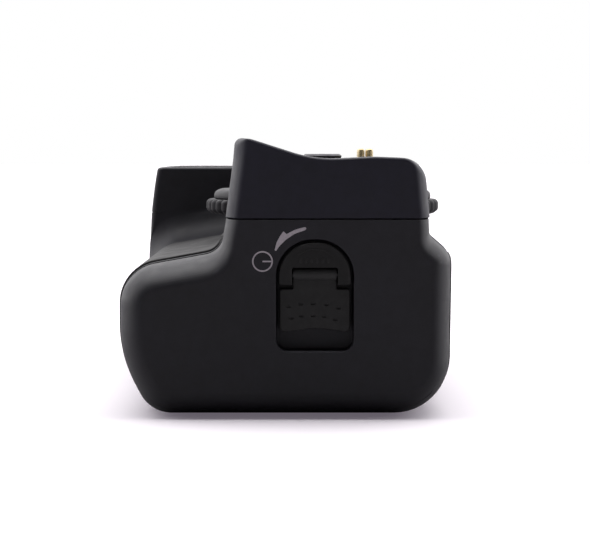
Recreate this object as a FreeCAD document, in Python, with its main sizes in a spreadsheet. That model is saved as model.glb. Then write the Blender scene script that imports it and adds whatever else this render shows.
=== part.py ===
import FreeCAD, Part
import Sketcher
import math
import operator
import os

# Vertical camera grip with a built-in flash-trigger radio.
#
# Frame, in millimetres: +X runs along the grip towards the end that the battery magazine slides out of,
# -Y is the lens side with the finger bulge, +Y is the photographer's side, +Z points up at the camera.
# The origin is the centre of the grip's bounding box on its flat base.

Vector = FreeCAD.Vector
Rotation = FreeCAD.Rotation

# Driving dimensions. Each becomes a named cell of the sheet, and every object below is bound to them.
SIZES = {
    # overall form
    "half_length": 75.0,
    "wall": 2.4,
    "seam_z": 41.9,
    "seam_gap": 0.25,
    "shell_end": 62.0,
    "cover_back": 62.4,
    "cover_round": 5.0,
    "end_draft": 1.1,
    # outline of the lower body across its length
    "foot_y": -28.8,
    "bulge_y": -35.2,
    "bulge_low": 12.0,
    "bulge_top": 30.75,
    "neck_foot_y": -13.9,
    "neck_foot_z": 34.6,
    "neck_front": -12.6,
    "neck_back": 30.4,
    "ledge_y": 30.55,
    "ledge_z": 38.2,
    "back_y": 35.2,
    "back_top": 34.2,
    # tower under the camera's own hand grip
    "tower_near": -27.0,
    "tower_split": 39.8,
    "tower_top": 51.4,
    "tower_low": 27.0,
    "tower_front": -35.8,
    "tower_front_split": -35.2,
    "tower_front_top": -33.6,
    "tower_foot_round": 8.8,
    "end_wall": 5.5,
    # platform that the camera sits on
    "platform_z": 50.2,
    "pad_thick": 0.8,
    "cap_back": 58.0,
    "cap_top": 51.5,
    # rubber skins
    "skin": 0.45,
    "skin_start": 60.2,
    # attachment wheel and camera screw
    "wheel_x": 14.0,
    "wheel_y": 8.5,
    "wheel_low": 40.95,
    "wheel_shoulder": 44.4,
    "wheel_top": 46.7,
    "wheel_radius": 27.5,
    "tooth_depth": 0.9,
    "dome_radius": 25.6,
    "slot_low": 40.4,
    "slot_high": 47.2,
    "slot_radius": 28.1,
    "screw_radius": 4.7625,
    "screw_top": 55.0,
    "spindle_radius": 4.0,
    "running_gap": 0.05,
    "guide_offset": 24.0,
    "guide_radius": 2.0,
    "guide_length": 2.2,
    # electrical contacts
    "contact_x": 14.0,
    "contact_y": 18.6,
    "contact_pitch_x": 2.5,
    "contact_pitch_y": 2.0,
    "contact_radius": 0.8,
    "contact_top": 56.3,
    "contact_travel": 1.5,
    # battery magazine
    "cell_radius": 7.2,
    "cell_length": 50.2,
    "cell_pitch": 15.2,
    "cell_y": 4.7,
    "cell_z": 17.8,
    "cell_end": 54.1,
    "tray_front": -19.4,
    "tray_back": 28.8,
    "tray_low": 9.3,
    "tray_high": 25.3,
    "tray_far": -50.0,
    # latch
    "key_y": 6.15,
    "key_z": 29.5,
    "key_radius": 7.4,
    "recess_gap": 0.65,
    "recess_floor": 71.2,
    "recess_low": 14.3,
    "key_foot": 28.1,
    "tab_front": 74.0,
    "tab_back": 72.3,
    "tab_low": 18.1,
    "tab_high": 27.2,
    "tab_half": 7.3,
    "tongue_half": 4.45,
    "hinge_x": 73.5,
    "hinge_z": 30.2,
    "hinge_radius": 0.6,
    "knuckle_radius": 1.25,
    # release button at the far end
    "release_y": -14.0,
    "release_z": 21.0,
    "release_radius": 5.0,
    "ring_radius": 10.0,
    # finger and thumb dials
    "dial_x": -61.0,
    "dial_z": 22.0,
    "dial_radius": 8.5,
    "dial_half": 3.0,
    "dial_y": 27.9,
    # back panel
    "panel_low_x": 4.0,
    "panel_high_x": 48.0,
    "panel_low_z": 13.0,
    "panel_high_z": 31.0,
    "panel_z": 21.5,
    "test_x": 11.0,
    "channel_x": 25.0,
    "power_x": 40.0,
    "lock_button_x": -37.0,
    "focus_button_x": -47.0,
    "back_button_z": 26.0,
    "button_radius": 3.3,
    # tripod socket
    "socket_radius": 3.175,
    "socket_depth": 7.0,
    "base_thick": 1.5,
    "plate_low_x": -34.0,
    "plate_high_x": 56.0,
    "plate_half": 20.0,
    "plate_gap": 0.2,
    # circuit boards
    "board_lift": 3.0,
    "board_thick": 1.6,
    "radio_lift": 2.6,
    "radio_thick": 1.0,
    "shield_tall": 2.2,
    "shield_wall": 0.3,
    # slots for the dials
    "dial_gap": 0.3,
    "dial_slot_half": 7.6,
    "bracket_thick": 1.2,
}

doc = FreeCAD.newDocument("camera_grip")
NODES = []


class Dim:
    """A length: its value now, and the sheet formula that drives it."""

    def __init__(self, value, formula):
        self.value = float(value)
        self.formula = formula

    def __float__(self):
        return self.value

    def __add__(self, other):
        return combined(self, "+", other)

    def __radd__(self, other):
        return combined(other, "+", self)

    def __sub__(self, other):
        return combined(self, "-", other)

    def __rsub__(self, other):
        return combined(other, "-", self)

    def __mul__(self, other):
        return combined(self, "*", other)

    def __rmul__(self, other):
        return combined(other, "*", self)

    def __neg__(self):
        return combined(0, "-", self)


OPERATIONS = {"+": operator.add, "-": operator.sub, "*": operator.mul}


def as_dim(number):
    if isinstance(number, Dim):
        return number
    return Dim(number, f"({float(number):.6f})")


def combined(left, sign, right):
    left, right = as_dim(left), as_dim(right)
    return Dim(OPERATIONS[sign](left.value, right.value), f"({left.formula} {sign} {right.formula})")


class Words:
    """The sheet's cells as lengths, by their alias."""


def make_sheet():
    sheet = doc.addObject("Spreadsheet::Sheet", "sizes")
    words = Words()
    for row, (alias, number) in enumerate(SIZES.items(), start=1):
        sheet.set(f"A{row}", alias)
        sheet.set(f"B{row}", str(number))
        sheet.setAlias(f"B{row}", alias)
        setattr(words, alias, Dim(number, f"sizes.{alias}"))
    doc.recompute()
    return words


S = make_sheet()


# ---------------------------------------------------------------- helpers

def bind(thing, name, length):
    """Drive a property from the sheet, or set it where the length is a plain number."""
    if isinstance(length, Dim):
        thing.setExpression(name, length.formula)
    else:
        setattr(thing, name, length)


def place(thing, at, turn=None):
    thing.Placement = FreeCAD.Placement(Vector(*[float(c) for c in at]), turn or Rotation())
    for letter, length in zip("xyz", at):
        if isinstance(length, Dim):
            thing.setExpression(f"Placement.Base.{letter}", length.formula)
    return thing


ALONG = {
    "z": Rotation(),
    "x": Rotation(Vector(0, 1, 0), 90),
    "y": Rotation(Vector(1, 0, 0), -90),
    "-y": Rotation(Vector(1, 0, 0), 90),
    "-x": Rotation(Vector(0, 1, 0), -90),
    "-z": Rotation(Vector(1, 0, 0), 180),
}


def block(name, low, high):
    """A box between two corners."""
    thing = doc.addObject("Part::Box", name)
    for side, near, far in zip(("Length", "Width", "Height"), low, high):
        bind(thing, side, far - near)
    return place(thing, low)


def rod(name, at, radius, length, along="z"):
    thing = doc.addObject("Part::Cylinder", name)
    bind(thing, "Radius", radius)
    bind(thing, "Height", length)
    return place(thing, at, ALONG[along])


def cone(name, at, radius, end_radius, length, along="z"):
    thing = doc.addObject("Part::Cone", name)
    bind(thing, "Radius1", radius)
    bind(thing, "Radius2", end_radius)
    bind(thing, "Height", length)
    return place(thing, at, ALONG[along])


def fuse(name, *things):
    thing = doc.addObject("Part::MultiFuse", name)
    thing.Shapes = list(things)
    thing.Refine = True
    return thing


def cut(name, base, *tools):
    thing = doc.addObject("Part::Cut", name)
    thing.Base = base
    thing.Tool = tools[0] if len(tools) == 1 else fuse(name + "_openings", *tools)
    thing.Refine = True
    return thing


def common(name, base, tool):
    thing = doc.addObject("Part::Common", name)
    thing.Base = base
    thing.Tool = tool
    return thing


def group(name, *things):
    thing = doc.addObject("Part::Compound", name)
    thing.Links = list(things)
    return thing


def node(thing):
    """Mark an object as a sub-part. Its label names its file."""
    NODES.append(thing)
    return thing


PLANES = {
    "x": ("YZ_Plane", lambda a, b, c: Vector(c, a, b)),
    "y": ("XZ_Plane", lambda a, b, c: Vector(a, c, b)),
    "z": ("XY_Plane", lambda a, b, c: Vector(a, b, c)),
}


def outline_sketch(body, name, along, outline, start, end):
    """A closed polygon on one of the body's planes, each corner held by two bound distances."""
    plane = next(f for f in body.Origin.OriginFeatures if f.Role == PLANES[along][0])
    sketch = body.newObject("Sketcher::SketchObject", name)
    sketch.AttachmentSupport = (plane, [""])
    sketch.MapMode = "FlatFace"
    bind(sketch, "AttachmentOffset.Base.z", as_dim(-end if along == "y" else start))
    count = len(outline)
    corners = [Vector(float(a), float(b), 0) for a, b in outline]
    for i in range(count):
        sketch.addGeometry(Part.LineSegment(corners[i], corners[(i + 1) % count]), False)
    for i in range(count):
        sketch.addConstraint(Sketcher.Constraint("Coincident", i, 2, (i + 1) % count, 1))
    for i, corner in enumerate(outline):
        for kind, length in zip(("DistanceX", "DistanceY"), corner):
            index = sketch.addConstraint(Sketcher.Constraint(kind, -1, 1, i, 1, float(length)))
            if isinstance(length, Dim):
                sketch.setExpression(f"Constraints[{index}]", length.formula)
    return sketch


def add_pad(body, name, along, outline, start, end, draft=0.0):
    sketch = outline_sketch(body, name + "_outline", along, outline, start, end)
    pad = body.newObject("PartDesign::Pad", name + "_pad")
    pad.Profile = sketch
    bind(pad, "Length", end - start)
    pad.TaperAngle = -draft
    doc.recompute()
    body.Tip = pad
    return body


def round_edges(body, radius, wanted):
    """Round those edges of the body that the test picks."""
    base = body.Tip
    names = [f"Edge{i + 1}" for i, edge in enumerate(base.Shape.Edges) if wanted(edge)]
    if not names:
        raise RuntimeError(f"{body.Name}: no edge to round by {float(radius)}")
    fillet = body.newObject("PartDesign::Fillet", body.Name + "_round")
    fillet.Base = (base, names)
    bind(fillet, "Radius", radius)
    doc.recompute()
    body.Tip = fillet
    return body


def through(*points):
    """A test for edges that pass through any of the points."""
    corners = [Part.Vertex(point) for point in points]
    return lambda edge: any(edge.distToShape(corner)[0] < 0.02 for corner in corners)


def prism(name, along, outline, start, end, radii=()):
    """A body of constant outline along one axis, with its long edges rounded one after another."""
    body = doc.addObject("PartDesign::Body", name)
    add_pad(body, name, along, outline, start, end)
    middle = (float(start) + float(end)) / 2
    for (a, b), radius in zip(outline, radii):
        if float(radius):
            round_edges(body, radius, through(PLANES[along][1](float(a), float(b), middle)))
    return body


def grown(outline, by):
    """The outline moved outwards by a distance, with its corners kept sharp."""
    spots = [(float(a), float(b)) for a, b in outline]
    count = len(spots)
    area = sum(
        spots[i][0] * spots[(i + 1) % count][1] - spots[(i + 1) % count][0] * spots[i][1]
        for i in range(count)
    )
    side = 1.0 if area > 0 else -1.0

    def outward(i):
        (a, b), (c, d) = spots[i % count], spots[(i + 1) % count]
        run = math.hypot(c - a, d - b)
        return side * (d - b) / run, side * (a - c) / run

    moved = []
    for i, (a, b) in enumerate(outline):
        (p, q), (r, w) = outward(i - 1), outward(i)
        share = 1.0 + p * r + q * w
        moved.append((a + by * ((p + r) / share), b + by * ((q + w) / share)))
    return moved


def screws(name, places, head_radius, head, shank_radius, shank, along="z"):
    """A set of identical cross-recess screws. Each place is the top of a head, and along points out."""
    step = {"x": Vector(1, 0, 0), "y": Vector(0, 1, 0), "z": Vector(0, 0, 1)}[along[-1]]
    step = step * (-1 if along.startswith("-") else 1)
    made = []
    for i, at in enumerate(places):
        foot = [a - float(head + shank) * c for a, c in zip(at, step)]
        neck = [a - float(head) * c for a, c in zip(at, step)]
        slot = [a - float(head) * 0.5 * c for a, c in zip(at, step)]
        body = fuse(
            f"{name}_solid_{i}",
            rod(f"{name}_shank_{i}", foot, shank_radius, shank, along),
            rod(f"{name}_head_{i}", neck, head_radius, head, along),
        )
        drive = cone(f"{name}_drive_{i}", slot, 0.15, head_radius * 0.45, head * 0.55, along)
        made.append(cut(f"{name}_{i}", body, drive))
    return group(name, *made)


# ---------------------------------------------------------------- outlines

SECTION = [
    (S.foot_y, 0),
    (S.bulge_y, S.bulge_low),
    (S.bulge_y, S.bulge_top),
    (S.neck_foot_y, S.neck_foot_z),
    (S.neck_front, S.seam_z),
    (S.neck_back, S.seam_z),
    (S.ledge_y, S.ledge_z),
    (S.back_y, S.back_top),
    (S.back_y, 0),
]
SECTION_ROUNDS = [7.9, 27.0, 9.0, 4.5, 0, 0, 2.0, 5.3, 11.2]
HOLLOW_ROUNDS = [5.5, 24.0, 6.6, 0, 1.0, 1.0, 0, 2.9, 8.8]


BASE_SCREWS = [(x, y) for x in (-29.0, 51.0) for y in (-15.0, 15.0)]


def covered(outline, height):
    """The section with its top lowered to a height, for the end cover under the seam."""
    lowered = list(outline)
    lowered[4] = (outline[4][0], height)
    lowered[5] = (outline[5][0], height)
    return lowered


# ---------------------------------------------------------------- housing

def make_hollow(name, start, end, extra=0.0):
    """The space inside the lower body, as a solid to cut away or to fill."""
    return prism(name, "x", grown(SECTION, -(S.wall + extra)), start, end, HOLLOW_ROUNDS)


def make_form():
    """The outside of the lower body, with the tower's foot standing on the bulge."""
    body = prism("grip_form", "x", SECTION, -S.half_length, S.shell_end, SECTION_ROUNDS)
    tower = [
        (S.tower_front, S.bulge_low),
        (S.tower_front, S.tower_low),
        (S.tower_front_split, S.tower_split),
        (S.neck_back, S.tower_split),
        (S.neck_back, S.bulge_low),
    ]
    add_pad(body, "tower_foot", "x", tower, -S.half_length, S.tower_near)
    return body


def make_gusset():
    """Hollow-curved fillet from the tower's near face down to the sloping shelf, as one sheared sweep."""
    radius = SIZES["tower_foot_round"]
    near = SIZES["tower_near"]
    slope = (SIZES["neck_foot_z"] - SIZES["bulge_top"]) / (SIZES["neck_foot_y"] - SIZES["bulge_y"])
    start_y = SIZES["bulge_y"] + 1.2
    end_y = SIZES["neck_front"]
    foot = SIZES["bulge_top"] + slope * (start_y - SIZES["bulge_y"])
    corner = Vector(near, start_y, foot)
    top = corner + Vector(0, 0, radius)
    toe = corner + Vector(radius, 0, 0)
    middle = corner + Vector(radius, 0, radius) * (1 - math.sqrt(0.5))
    inside = Vector(near - 1, start_y, foot - 1)
    outline = Part.Wire([
        Part.Arc(top, middle, toe).toShape(),
        Part.LineSegment(toe, Vector(toe.x, start_y, inside.z)).toShape(),
        Part.LineSegment(Vector(toe.x, start_y, inside.z), inside).toShape(),
        Part.LineSegment(inside, Vector(inside.x, start_y, top.z)).toShape(),
        Part.LineSegment(Vector(inside.x, start_y, top.z), top).toShape(),
    ])
    run = end_y - start_y
    return feature("gusset", Part.Face(outline).extrude(Vector(0, run, run * slope)))


def tower_plan(inset=0.0):
    return [
        (-S.half_length + inset, S.tower_front_top + inset),
        (S.tower_near - inset, S.tower_front_top + inset),
        (S.tower_near - inset, S.neck_back - inset),
        (-S.half_length + inset, S.neck_back - inset),
    ]


def make_lower_shell():
    plan = [
        (-S.half_length, S.tower_front),
        (S.shell_end + 1, S.tower_front),
        (S.shell_end + 1, S.back_y),
        (-S.half_length, S.back_y),
    ]
    side = [
        (-S.half_length, 0),
        (S.shell_end + 1, 0),
        (S.shell_end + 1, S.tower_top),
        (-S.half_length, S.tower_top),
    ]
    form = common(
        "rounded_form",
        common("form_in_plan", make_form(), prism("plan_form", "z", plan, -1, S.tower_top, (9, 0, 0, 7))),
        prism("side_form", "y", side, S.bulge_y - 2, S.back_y + 2, (6, 0, 0, 0)),
    )
    far_inside = -S.half_length + S.end_wall
    hollow = make_hollow("shell_hollow", far_inside, S.shell_end + 1)
    tower_room = block(
        "tower_room",
        (far_inside, S.tower_front_split + S.wall, S.bulge_top - 4),
        (S.tower_near - S.wall, S.neck_back - S.wall, S.tower_split + 1),
    )
    wheel_recess = rod(
        "wheel_recess", (S.wheel_x, S.wheel_y, S.slot_low), S.slot_radius, S.seam_z - S.slot_low + 3)
    over_split = block(
        "over_split",
        (-S.half_length - 1, S.bulge_y - 2, S.tower_split),
        (S.tower_near, S.back_y + 2, S.tower_top),
    )
    bush_hole = rod("bush_hole", (S.wheel_x, S.wheel_y, S.seam_z - 4), 6.5, 5)
    dial_slots = [
        block(
            f"dial_slot_{side_name}",
            (S.dial_x - S.dial_half - S.dial_gap, low, S.dial_z - S.dial_slot_half),
            (S.dial_x + S.dial_half + S.dial_gap, high, S.dial_z + S.dial_slot_half),
        )
        for side_name, low, high in (
            ("front", S.bulge_y - 2, S.bulge_y + 4),
            ("rear", S.back_y - 4, S.back_y + 2),
        )
    ]
    dish = rod("release_dish", (-S.half_length - 1, S.release_y, S.release_z), S.ring_radius + 0.4, 3.4, "x")
    collar_hole = rod("collar_hole", (-S.half_length - 1, S.release_y, S.release_z), 5.9, 8, "x")
    panel_recess = block(
        "panel_recess",
        (S.panel_low_x, S.back_y - 0.8, S.panel_low_z),
        (S.panel_high_x, S.back_y + 2, S.panel_high_z),
    )
    panel_window = block(
        "panel_window",
        (S.panel_low_x + 1.5, S.back_y - 4, S.panel_low_z + 1.5),
        (S.panel_high_x - 1.5, S.back_y + 2, S.panel_high_z - 1.5),
    )
    button_holes = [
        rod(f"button_hole_{i}", (x, S.back_y - 4, S.back_button_z), S.button_radius + 0.1, 6, "y")
        for i, x in enumerate((S.lock_button_x, S.focus_button_x))
    ]
    plate_recess = block("plate_recess", (S.plate_low_x, -S.plate_half, -1),
                         (S.plate_high_x, S.plate_half, S.base_thick))
    socket_hole = rod("socket_hole", (S.wheel_x, S.wheel_y, -1), 5.4, 5)
    bosses = [rod(f"base_boss_{i}", (x, y, S.base_thick), 2.6, 4.2) for i, (x, y) in enumerate(BASE_SCREWS)]
    boss_holes = [rod(f"boss_hole_{i}", (x, y, -1), 1.0, 8) for i, (x, y) in enumerate(BASE_SCREWS)]
    hollowed = fuse("shell_with_bosses", cut("shell_walls", form, hollow, tower_room), make_gusset(), *bosses)
    return node(cut(
        "lower_shell", hollowed, over_split, wheel_recess, bush_hole, *dial_slots, dish, collar_hole,
        panel_recess, panel_window, *button_holes, plate_recess, socket_hole, *boss_holes,
    ))


def make_upper_shell():
    neck = prism("neck_form", "x", [
        (S.neck_front, S.seam_z),
        (S.neck_front + 1.1, S.platform_z),
        (S.neck_back - 0.8, S.platform_z),
        (S.neck_back, S.seam_z),
    ], S.tower_near, S.cap_back, (0, 0.8, 0.8, 0))
    crest = [
        (S.neck_front, S.seam_z),
        (-11.0, 54.0),
        (-10.6, 58.65),
        (-7.2, 58.3),
        (6.2, 54.0),
        (23.5, 54.5),
        (29.2, 54.2),
        (S.neck_back, S.seam_z),
    ]
    cap_outline = prism("cap_outline", "x", crest, S.cap_back, S.half_length, (0, 0, 1.6, 8, 28, 0, 4.5, 0))
    cap_plan = prism("cap_plan", "z", [
        (S.cap_back - 1, S.neck_front),
        (S.cover_back, S.neck_front),
        (S.half_length, S.neck_front + S.end_draft),
        (S.half_length, S.neck_back - S.end_draft),
        (S.cover_back, S.neck_back),
        (S.cap_back - 1, S.neck_back),
    ], S.seam_z - 1, 60, (0, 0, 4.5, 3.5, 0, 0))
    form = fuse("upper_form", neck, common("cap_form", cap_outline, cap_plan))
    wheel_slot = rod("wheel_slot", (S.wheel_x, S.wheel_y, S.seam_z - 1), S.slot_radius,
                     S.slot_high - S.seam_z + 1)
    far_room = block(
        "neck_room_far",
        (S.tower_near + S.wall, S.neck_front + 3.4, S.seam_z - 1),
        (S.wheel_x - S.slot_radius - 2, S.neck_back - 3.2, S.platform_z - 2.8),
    )
    near_room = block(
        "neck_room_near",
        (S.wheel_x + S.slot_radius + 2, S.neck_front + 3.4, S.seam_z - 1),
        (S.cap_back, S.neck_back - 3.2, S.platform_z - 2.8),
    )
    cap_room = block(
        "cap_room",
        (S.cap_back - 1, S.neck_front + 3.6, S.seam_z + 1.6),
        (S.half_length - S.wall, S.neck_back - 3.4, S.cap_top),
    )
    screw_hole = rod("screw_hole", (S.wheel_x, S.wheel_y, S.seam_z), S.screw_radius + 0.5, 12)
    block_hole = block(
        "contact_hole",
        (S.contact_x - 5.5, S.contact_y - 2.8, S.slot_high - 1),
        (S.contact_x + 5.5, S.contact_y + 2.8, S.platform_z + 1),
    )
    pin_hole = rod("guide_hole", (S.wheel_x + S.guide_offset, S.wheel_y, S.platform_z - 2), 2.6, 4)
    return node(cut(
        "upper_shell", form, wheel_slot, far_room, near_room, cap_room, screw_hole, block_hole, pin_hole,
    ))


def make_tower_cap():
    """Moulded top of the tower, hollow from below."""
    body = prism("tower_cap_block", "x", [
        (S.tower_front_split, S.tower_split),
        (S.tower_front_top, S.tower_top),
        (S.neck_back - 0.6, S.tower_top),
        (S.neck_back, S.tower_split),
    ], -S.half_length, S.tower_near)
    top = float(S.tower_top)
    round_edges(body, 1.2, lambda edge: all(abs(v.Point.z - top) < 1e-3 for v in edge.Vertexes))
    plan = prism("tower_cap_plan", "z", [
        (-S.half_length, S.tower_front),
        (S.tower_near, S.tower_front),
        (S.tower_near, S.neck_back),
        (-S.half_length, S.neck_back),
    ], S.tower_split - 1, S.tower_top + 1, (9, 1.5, 0.6, 7))
    room = prism("tower_cap_room", "z", tower_plan(S.wall), S.tower_split - 1, S.tower_top - S.wall,
                 (6, 1, 0, 4))
    pad_foot = S.tower_top - S.pad_thick + 0.1
    bed = prism("tower_pad_bed", "z", tower_plan(3.1), pad_foot, S.tower_top + 1, (6.1, 2.1, 2.1, 5.1))
    node(cut("tower_cap", common("tower_cap_form", body, plan), room, bed))
    node(prism("tower_pad", "z", tower_plan(3.2), pad_foot, S.tower_top + 0.1, (6, 2, 2, 5)))


def make_platform_pad():
    """Thin rubber sheet between the platform and the camera."""
    sheet = prism("pad_sheet", "z", [
        (S.tower_near + 1.5, S.neck_front + 4),
        (S.cap_back - 1.5, S.neck_front + 4),
        (S.cap_back - 1.5, S.neck_back - 4),
        (S.tower_near + 1.5, S.neck_back - 4),
    ], S.platform_z, S.platform_z + S.pad_thick, (2.5, 2.5, 2.5, 2.5))
    holes = [
        rod("pad_screw_hole", (S.wheel_x, S.wheel_y, S.platform_z - 1), 7, 4),
        block(
            "pad_contact_hole",
            (S.contact_x - 6.3, S.contact_y - 3.6, S.platform_z - 1),
            (S.contact_x + 6.3, S.contact_y + 3.6, S.platform_z + 3),
        ),
        rod("pad_guide_hole", (S.wheel_x + S.guide_offset, S.wheel_y, S.platform_z - 1), 3.0, 4),
    ]
    return node(cut("platform_pad", sheet, *holes))


def make_skins():
    """Rubber skins, bonded to the front and back of the lower shell."""
    around = prism("skin_block", "x", grown(SECTION, S.skin), S.tower_near, S.skin_start, [
        8.35, 27.4, 9.4, 4.0, 0, 0, 1.6, 5.7, 11.6,
    ])
    bed = prism("skin_bed", "x", SECTION, S.tower_near - 1, S.skin_start + 1, SECTION_ROUNDS)
    sheet = cut("skin_sheet", around, bed)
    front = block(
        "skin_front_zone",
        (S.tower_near + S.tower_foot_round + 1, S.bulge_y - 3, 1.2),
        (S.skin_start, S.neck_front - 0.3, 38.0),
    )
    node(common("front_grip_rubber", sheet, front))
    back = block("skin_back_zone", (S.tower_near + 6, S.back_y - 3, 4), (S.skin_start, S.back_y + 3, 34))
    window = block(
        "skin_window",
        (S.panel_low_x - 0.5, S.back_y - 5, S.panel_low_z - 0.5),
        (S.panel_high_x + 0.5, S.back_y + 5, S.panel_high_z + 0.5),
    )
    node(cut("rear_grip_rubber", common("rear_skin", sheet, back), window))


def make_base():
    """Flat metal plate under the grip, with the tripod socket below the camera screw."""
    low, high, half = S.plate_low_x + S.plate_gap, S.plate_high_x - S.plate_gap, S.plate_half - S.plate_gap
    plate = prism("plate_form", "z", [(low, -half), (high, -half), (high, half), (low, half)],
                  0, S.base_thick, (3, 3, 3, 3))
    holes = [rod(f"plate_hole_{i}", (x, y, -1), 2.05, 4) for i, (x, y) in enumerate(BASE_SCREWS)]
    socket_hole = rod("plate_socket_hole", (S.wheel_x, S.wheel_y, -1), 5.5, 4)
    node(cut("base_plate", plate, *holes, socket_hole))
    barrel = fuse(
        "socket_form",
        rod("socket_neck", (S.wheel_x, S.wheel_y, 0.2), 5.4, S.socket_depth),
        rod("socket_flange", (S.wheel_x, S.wheel_y, S.wall), 6.9, 1.6),
    )
    node(cut("tripod_socket", barrel,
             rod("socket_bore", (S.wheel_x, S.wheel_y, -1), S.socket_radius, S.socket_depth)))
    node(screws("base_screws", [(x, y, 0.1) for x, y in BASE_SCREWS], 2.0, 1.3, 1.0, 4.0, "-z"))


# ---------------------------------------------------------------- attachment wheel

def knurled_outline(teeth, tip, root):
    """A closed wire of flat-topped teeth with sloping flanks."""
    step = 2 * math.pi / teeth
    spots = []
    for i in range(teeth):
        for share, radius in ((-0.5, root), (-0.36, root), (-0.24, tip), (0.24, tip), (0.36, root)):
            angle = (i + share) * step
            spots.append(Vector(radius * math.cos(angle), radius * math.sin(angle), 0))
    return Part.makePolygon(spots + spots[:1])


def knurled_disc(teeth, tip, root, low, high, chamfer_low, chamfer_high):
    """A toothed disc with both rims chamfered, standing on the Z axis."""
    disc = Part.Face(knurled_outline(teeth, tip, root)).extrude(Vector(0, 0, high - low))
    disc.translate(Vector(0, 0, low))
    profile = Part.makePolygon([
        Vector(0, 0, low), Vector(tip - chamfer_low, 0, low), Vector(tip, 0, low + chamfer_low),
        Vector(tip, 0, high - chamfer_high), Vector(tip - chamfer_high, 0, high), Vector(0, 0, high),
        Vector(0, 0, low),
    ])
    envelope = Part.Face(profile).revolve(Vector(0, 0, 0), Vector(0, 0, 1), 360)
    return disc.common(envelope)


def feature(name, shape, at=(0, 0, 0), turn=None):
    thing = doc.addObject("Part::Feature", name)
    thing.Shape = shape
    return place(thing, at, turn)


def make_wheel():
    rim = knurled_disc(56, SIZES["wheel_radius"], SIZES["wheel_radius"] - SIZES["tooth_depth"],
                       SIZES["wheel_low"], SIZES["wheel_shoulder"], 0.9, 0.5)
    rim_blank = feature("wheel_blank", rim, (S.wheel_x, S.wheel_y, 0))
    node(cut("lock_wheel_rim", rim_blank, rod("rim_bore", (S.wheel_x, S.wheel_y, S.wheel_low - 1), 22, 8)))
    hub = rod("hub_disc", (S.wheel_x, S.wheel_y, S.wheel_low + 0.35), 22,
              S.wheel_shoulder - S.wheel_low - 0.35)
    node(cut("lock_wheel_hub", hub,
             rod("hub_bore", (S.wheel_x, S.wheel_y, S.wheel_low - 1), S.spindle_radius, 8)))
    dome_form = fuse(
        "dome_form_solid",
        rod("dome_disc", (S.wheel_x, S.wheel_y, S.wheel_shoulder), S.dome_radius, 1.2),
        cone("dome_slope", (S.wheel_x, S.wheel_y, S.wheel_shoulder + 1.2), S.dome_radius,
             S.dome_radius - 1.1, S.wheel_top - S.wheel_shoulder - 1.2),
    )
    node(cut("lock_wheel_cap", dome_form,
             rod("dome_bore", (S.wheel_x, S.wheel_y, S.wheel_shoulder - 1), S.spindle_radius, 6)))
    spindle_foot = S.slot_low - 5.3
    stud = fuse(
        "screw_form",
        rod("screw_spindle", (S.wheel_x, S.wheel_y, spindle_foot), S.spindle_radius,
            S.wheel_top - spindle_foot),
        rod("screw_relief", (S.wheel_x, S.wheel_y, S.wheel_top), S.screw_radius - 0.5,
            S.platform_z + S.pad_thick - S.wheel_top),
        rod("screw_stud", (S.wheel_x, S.wheel_y, S.platform_z + S.pad_thick), S.screw_radius,
            S.screw_top - S.platform_z - S.pad_thick - 0.6),
        cone("screw_tip", (S.wheel_x, S.wheel_y, S.screw_top - 0.6), S.screw_radius,
             S.screw_radius - 0.6, 0.6),
    )
    groove = cut(
        "clip_groove",
        rod("groove_outer", (S.wheel_x, S.wheel_y, spindle_foot + 0.7), 6, 0.8),
        rod("groove_inner", (S.wheel_x, S.wheel_y, spindle_foot), 3.3, 3),
    )
    node(cut("camera_screw", stud, groove))
    clip = cut(
        "clip_ring",
        rod("clip_outer", (S.wheel_x, S.wheel_y, spindle_foot + 0.75), 6.2, 0.7),
        rod("clip_inner", (S.wheel_x, S.wheel_y, spindle_foot), 3.35, 3),
    )
    node(cut("screw_clip", clip, block(
        "clip_mouth",
        (S.wheel_x, S.wheel_y - 1.6, spindle_foot),
        (S.wheel_x + 8, S.wheel_y + 1.6, spindle_foot + 3),
    )))
    bush = fuse(
        "bush_form",
        rod("bush_sleeve", (S.wheel_x, S.wheel_y, S.slot_low - 3.7), 6.5, 3.7),
        rod("bush_flange", (S.wheel_x, S.wheel_y, S.seam_z - S.wall - 1.6), 9, 1.6),
    )
    node(cut("wheel_bush", bush,
             rod("bush_bore", (S.wheel_x, S.wheel_y, S.seam_z - 8), S.spindle_radius + S.running_gap, 12)))


# ---------------------------------------------------------------- contacts

def contact_places():
    return [
        (S.contact_x + S.contact_pitch_x * column, S.contact_y + S.contact_pitch_y * row)
        for column in (-1.5, -0.5, 0.5, 1.5) for row in (-0.5, 0.5)
    ]


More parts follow.
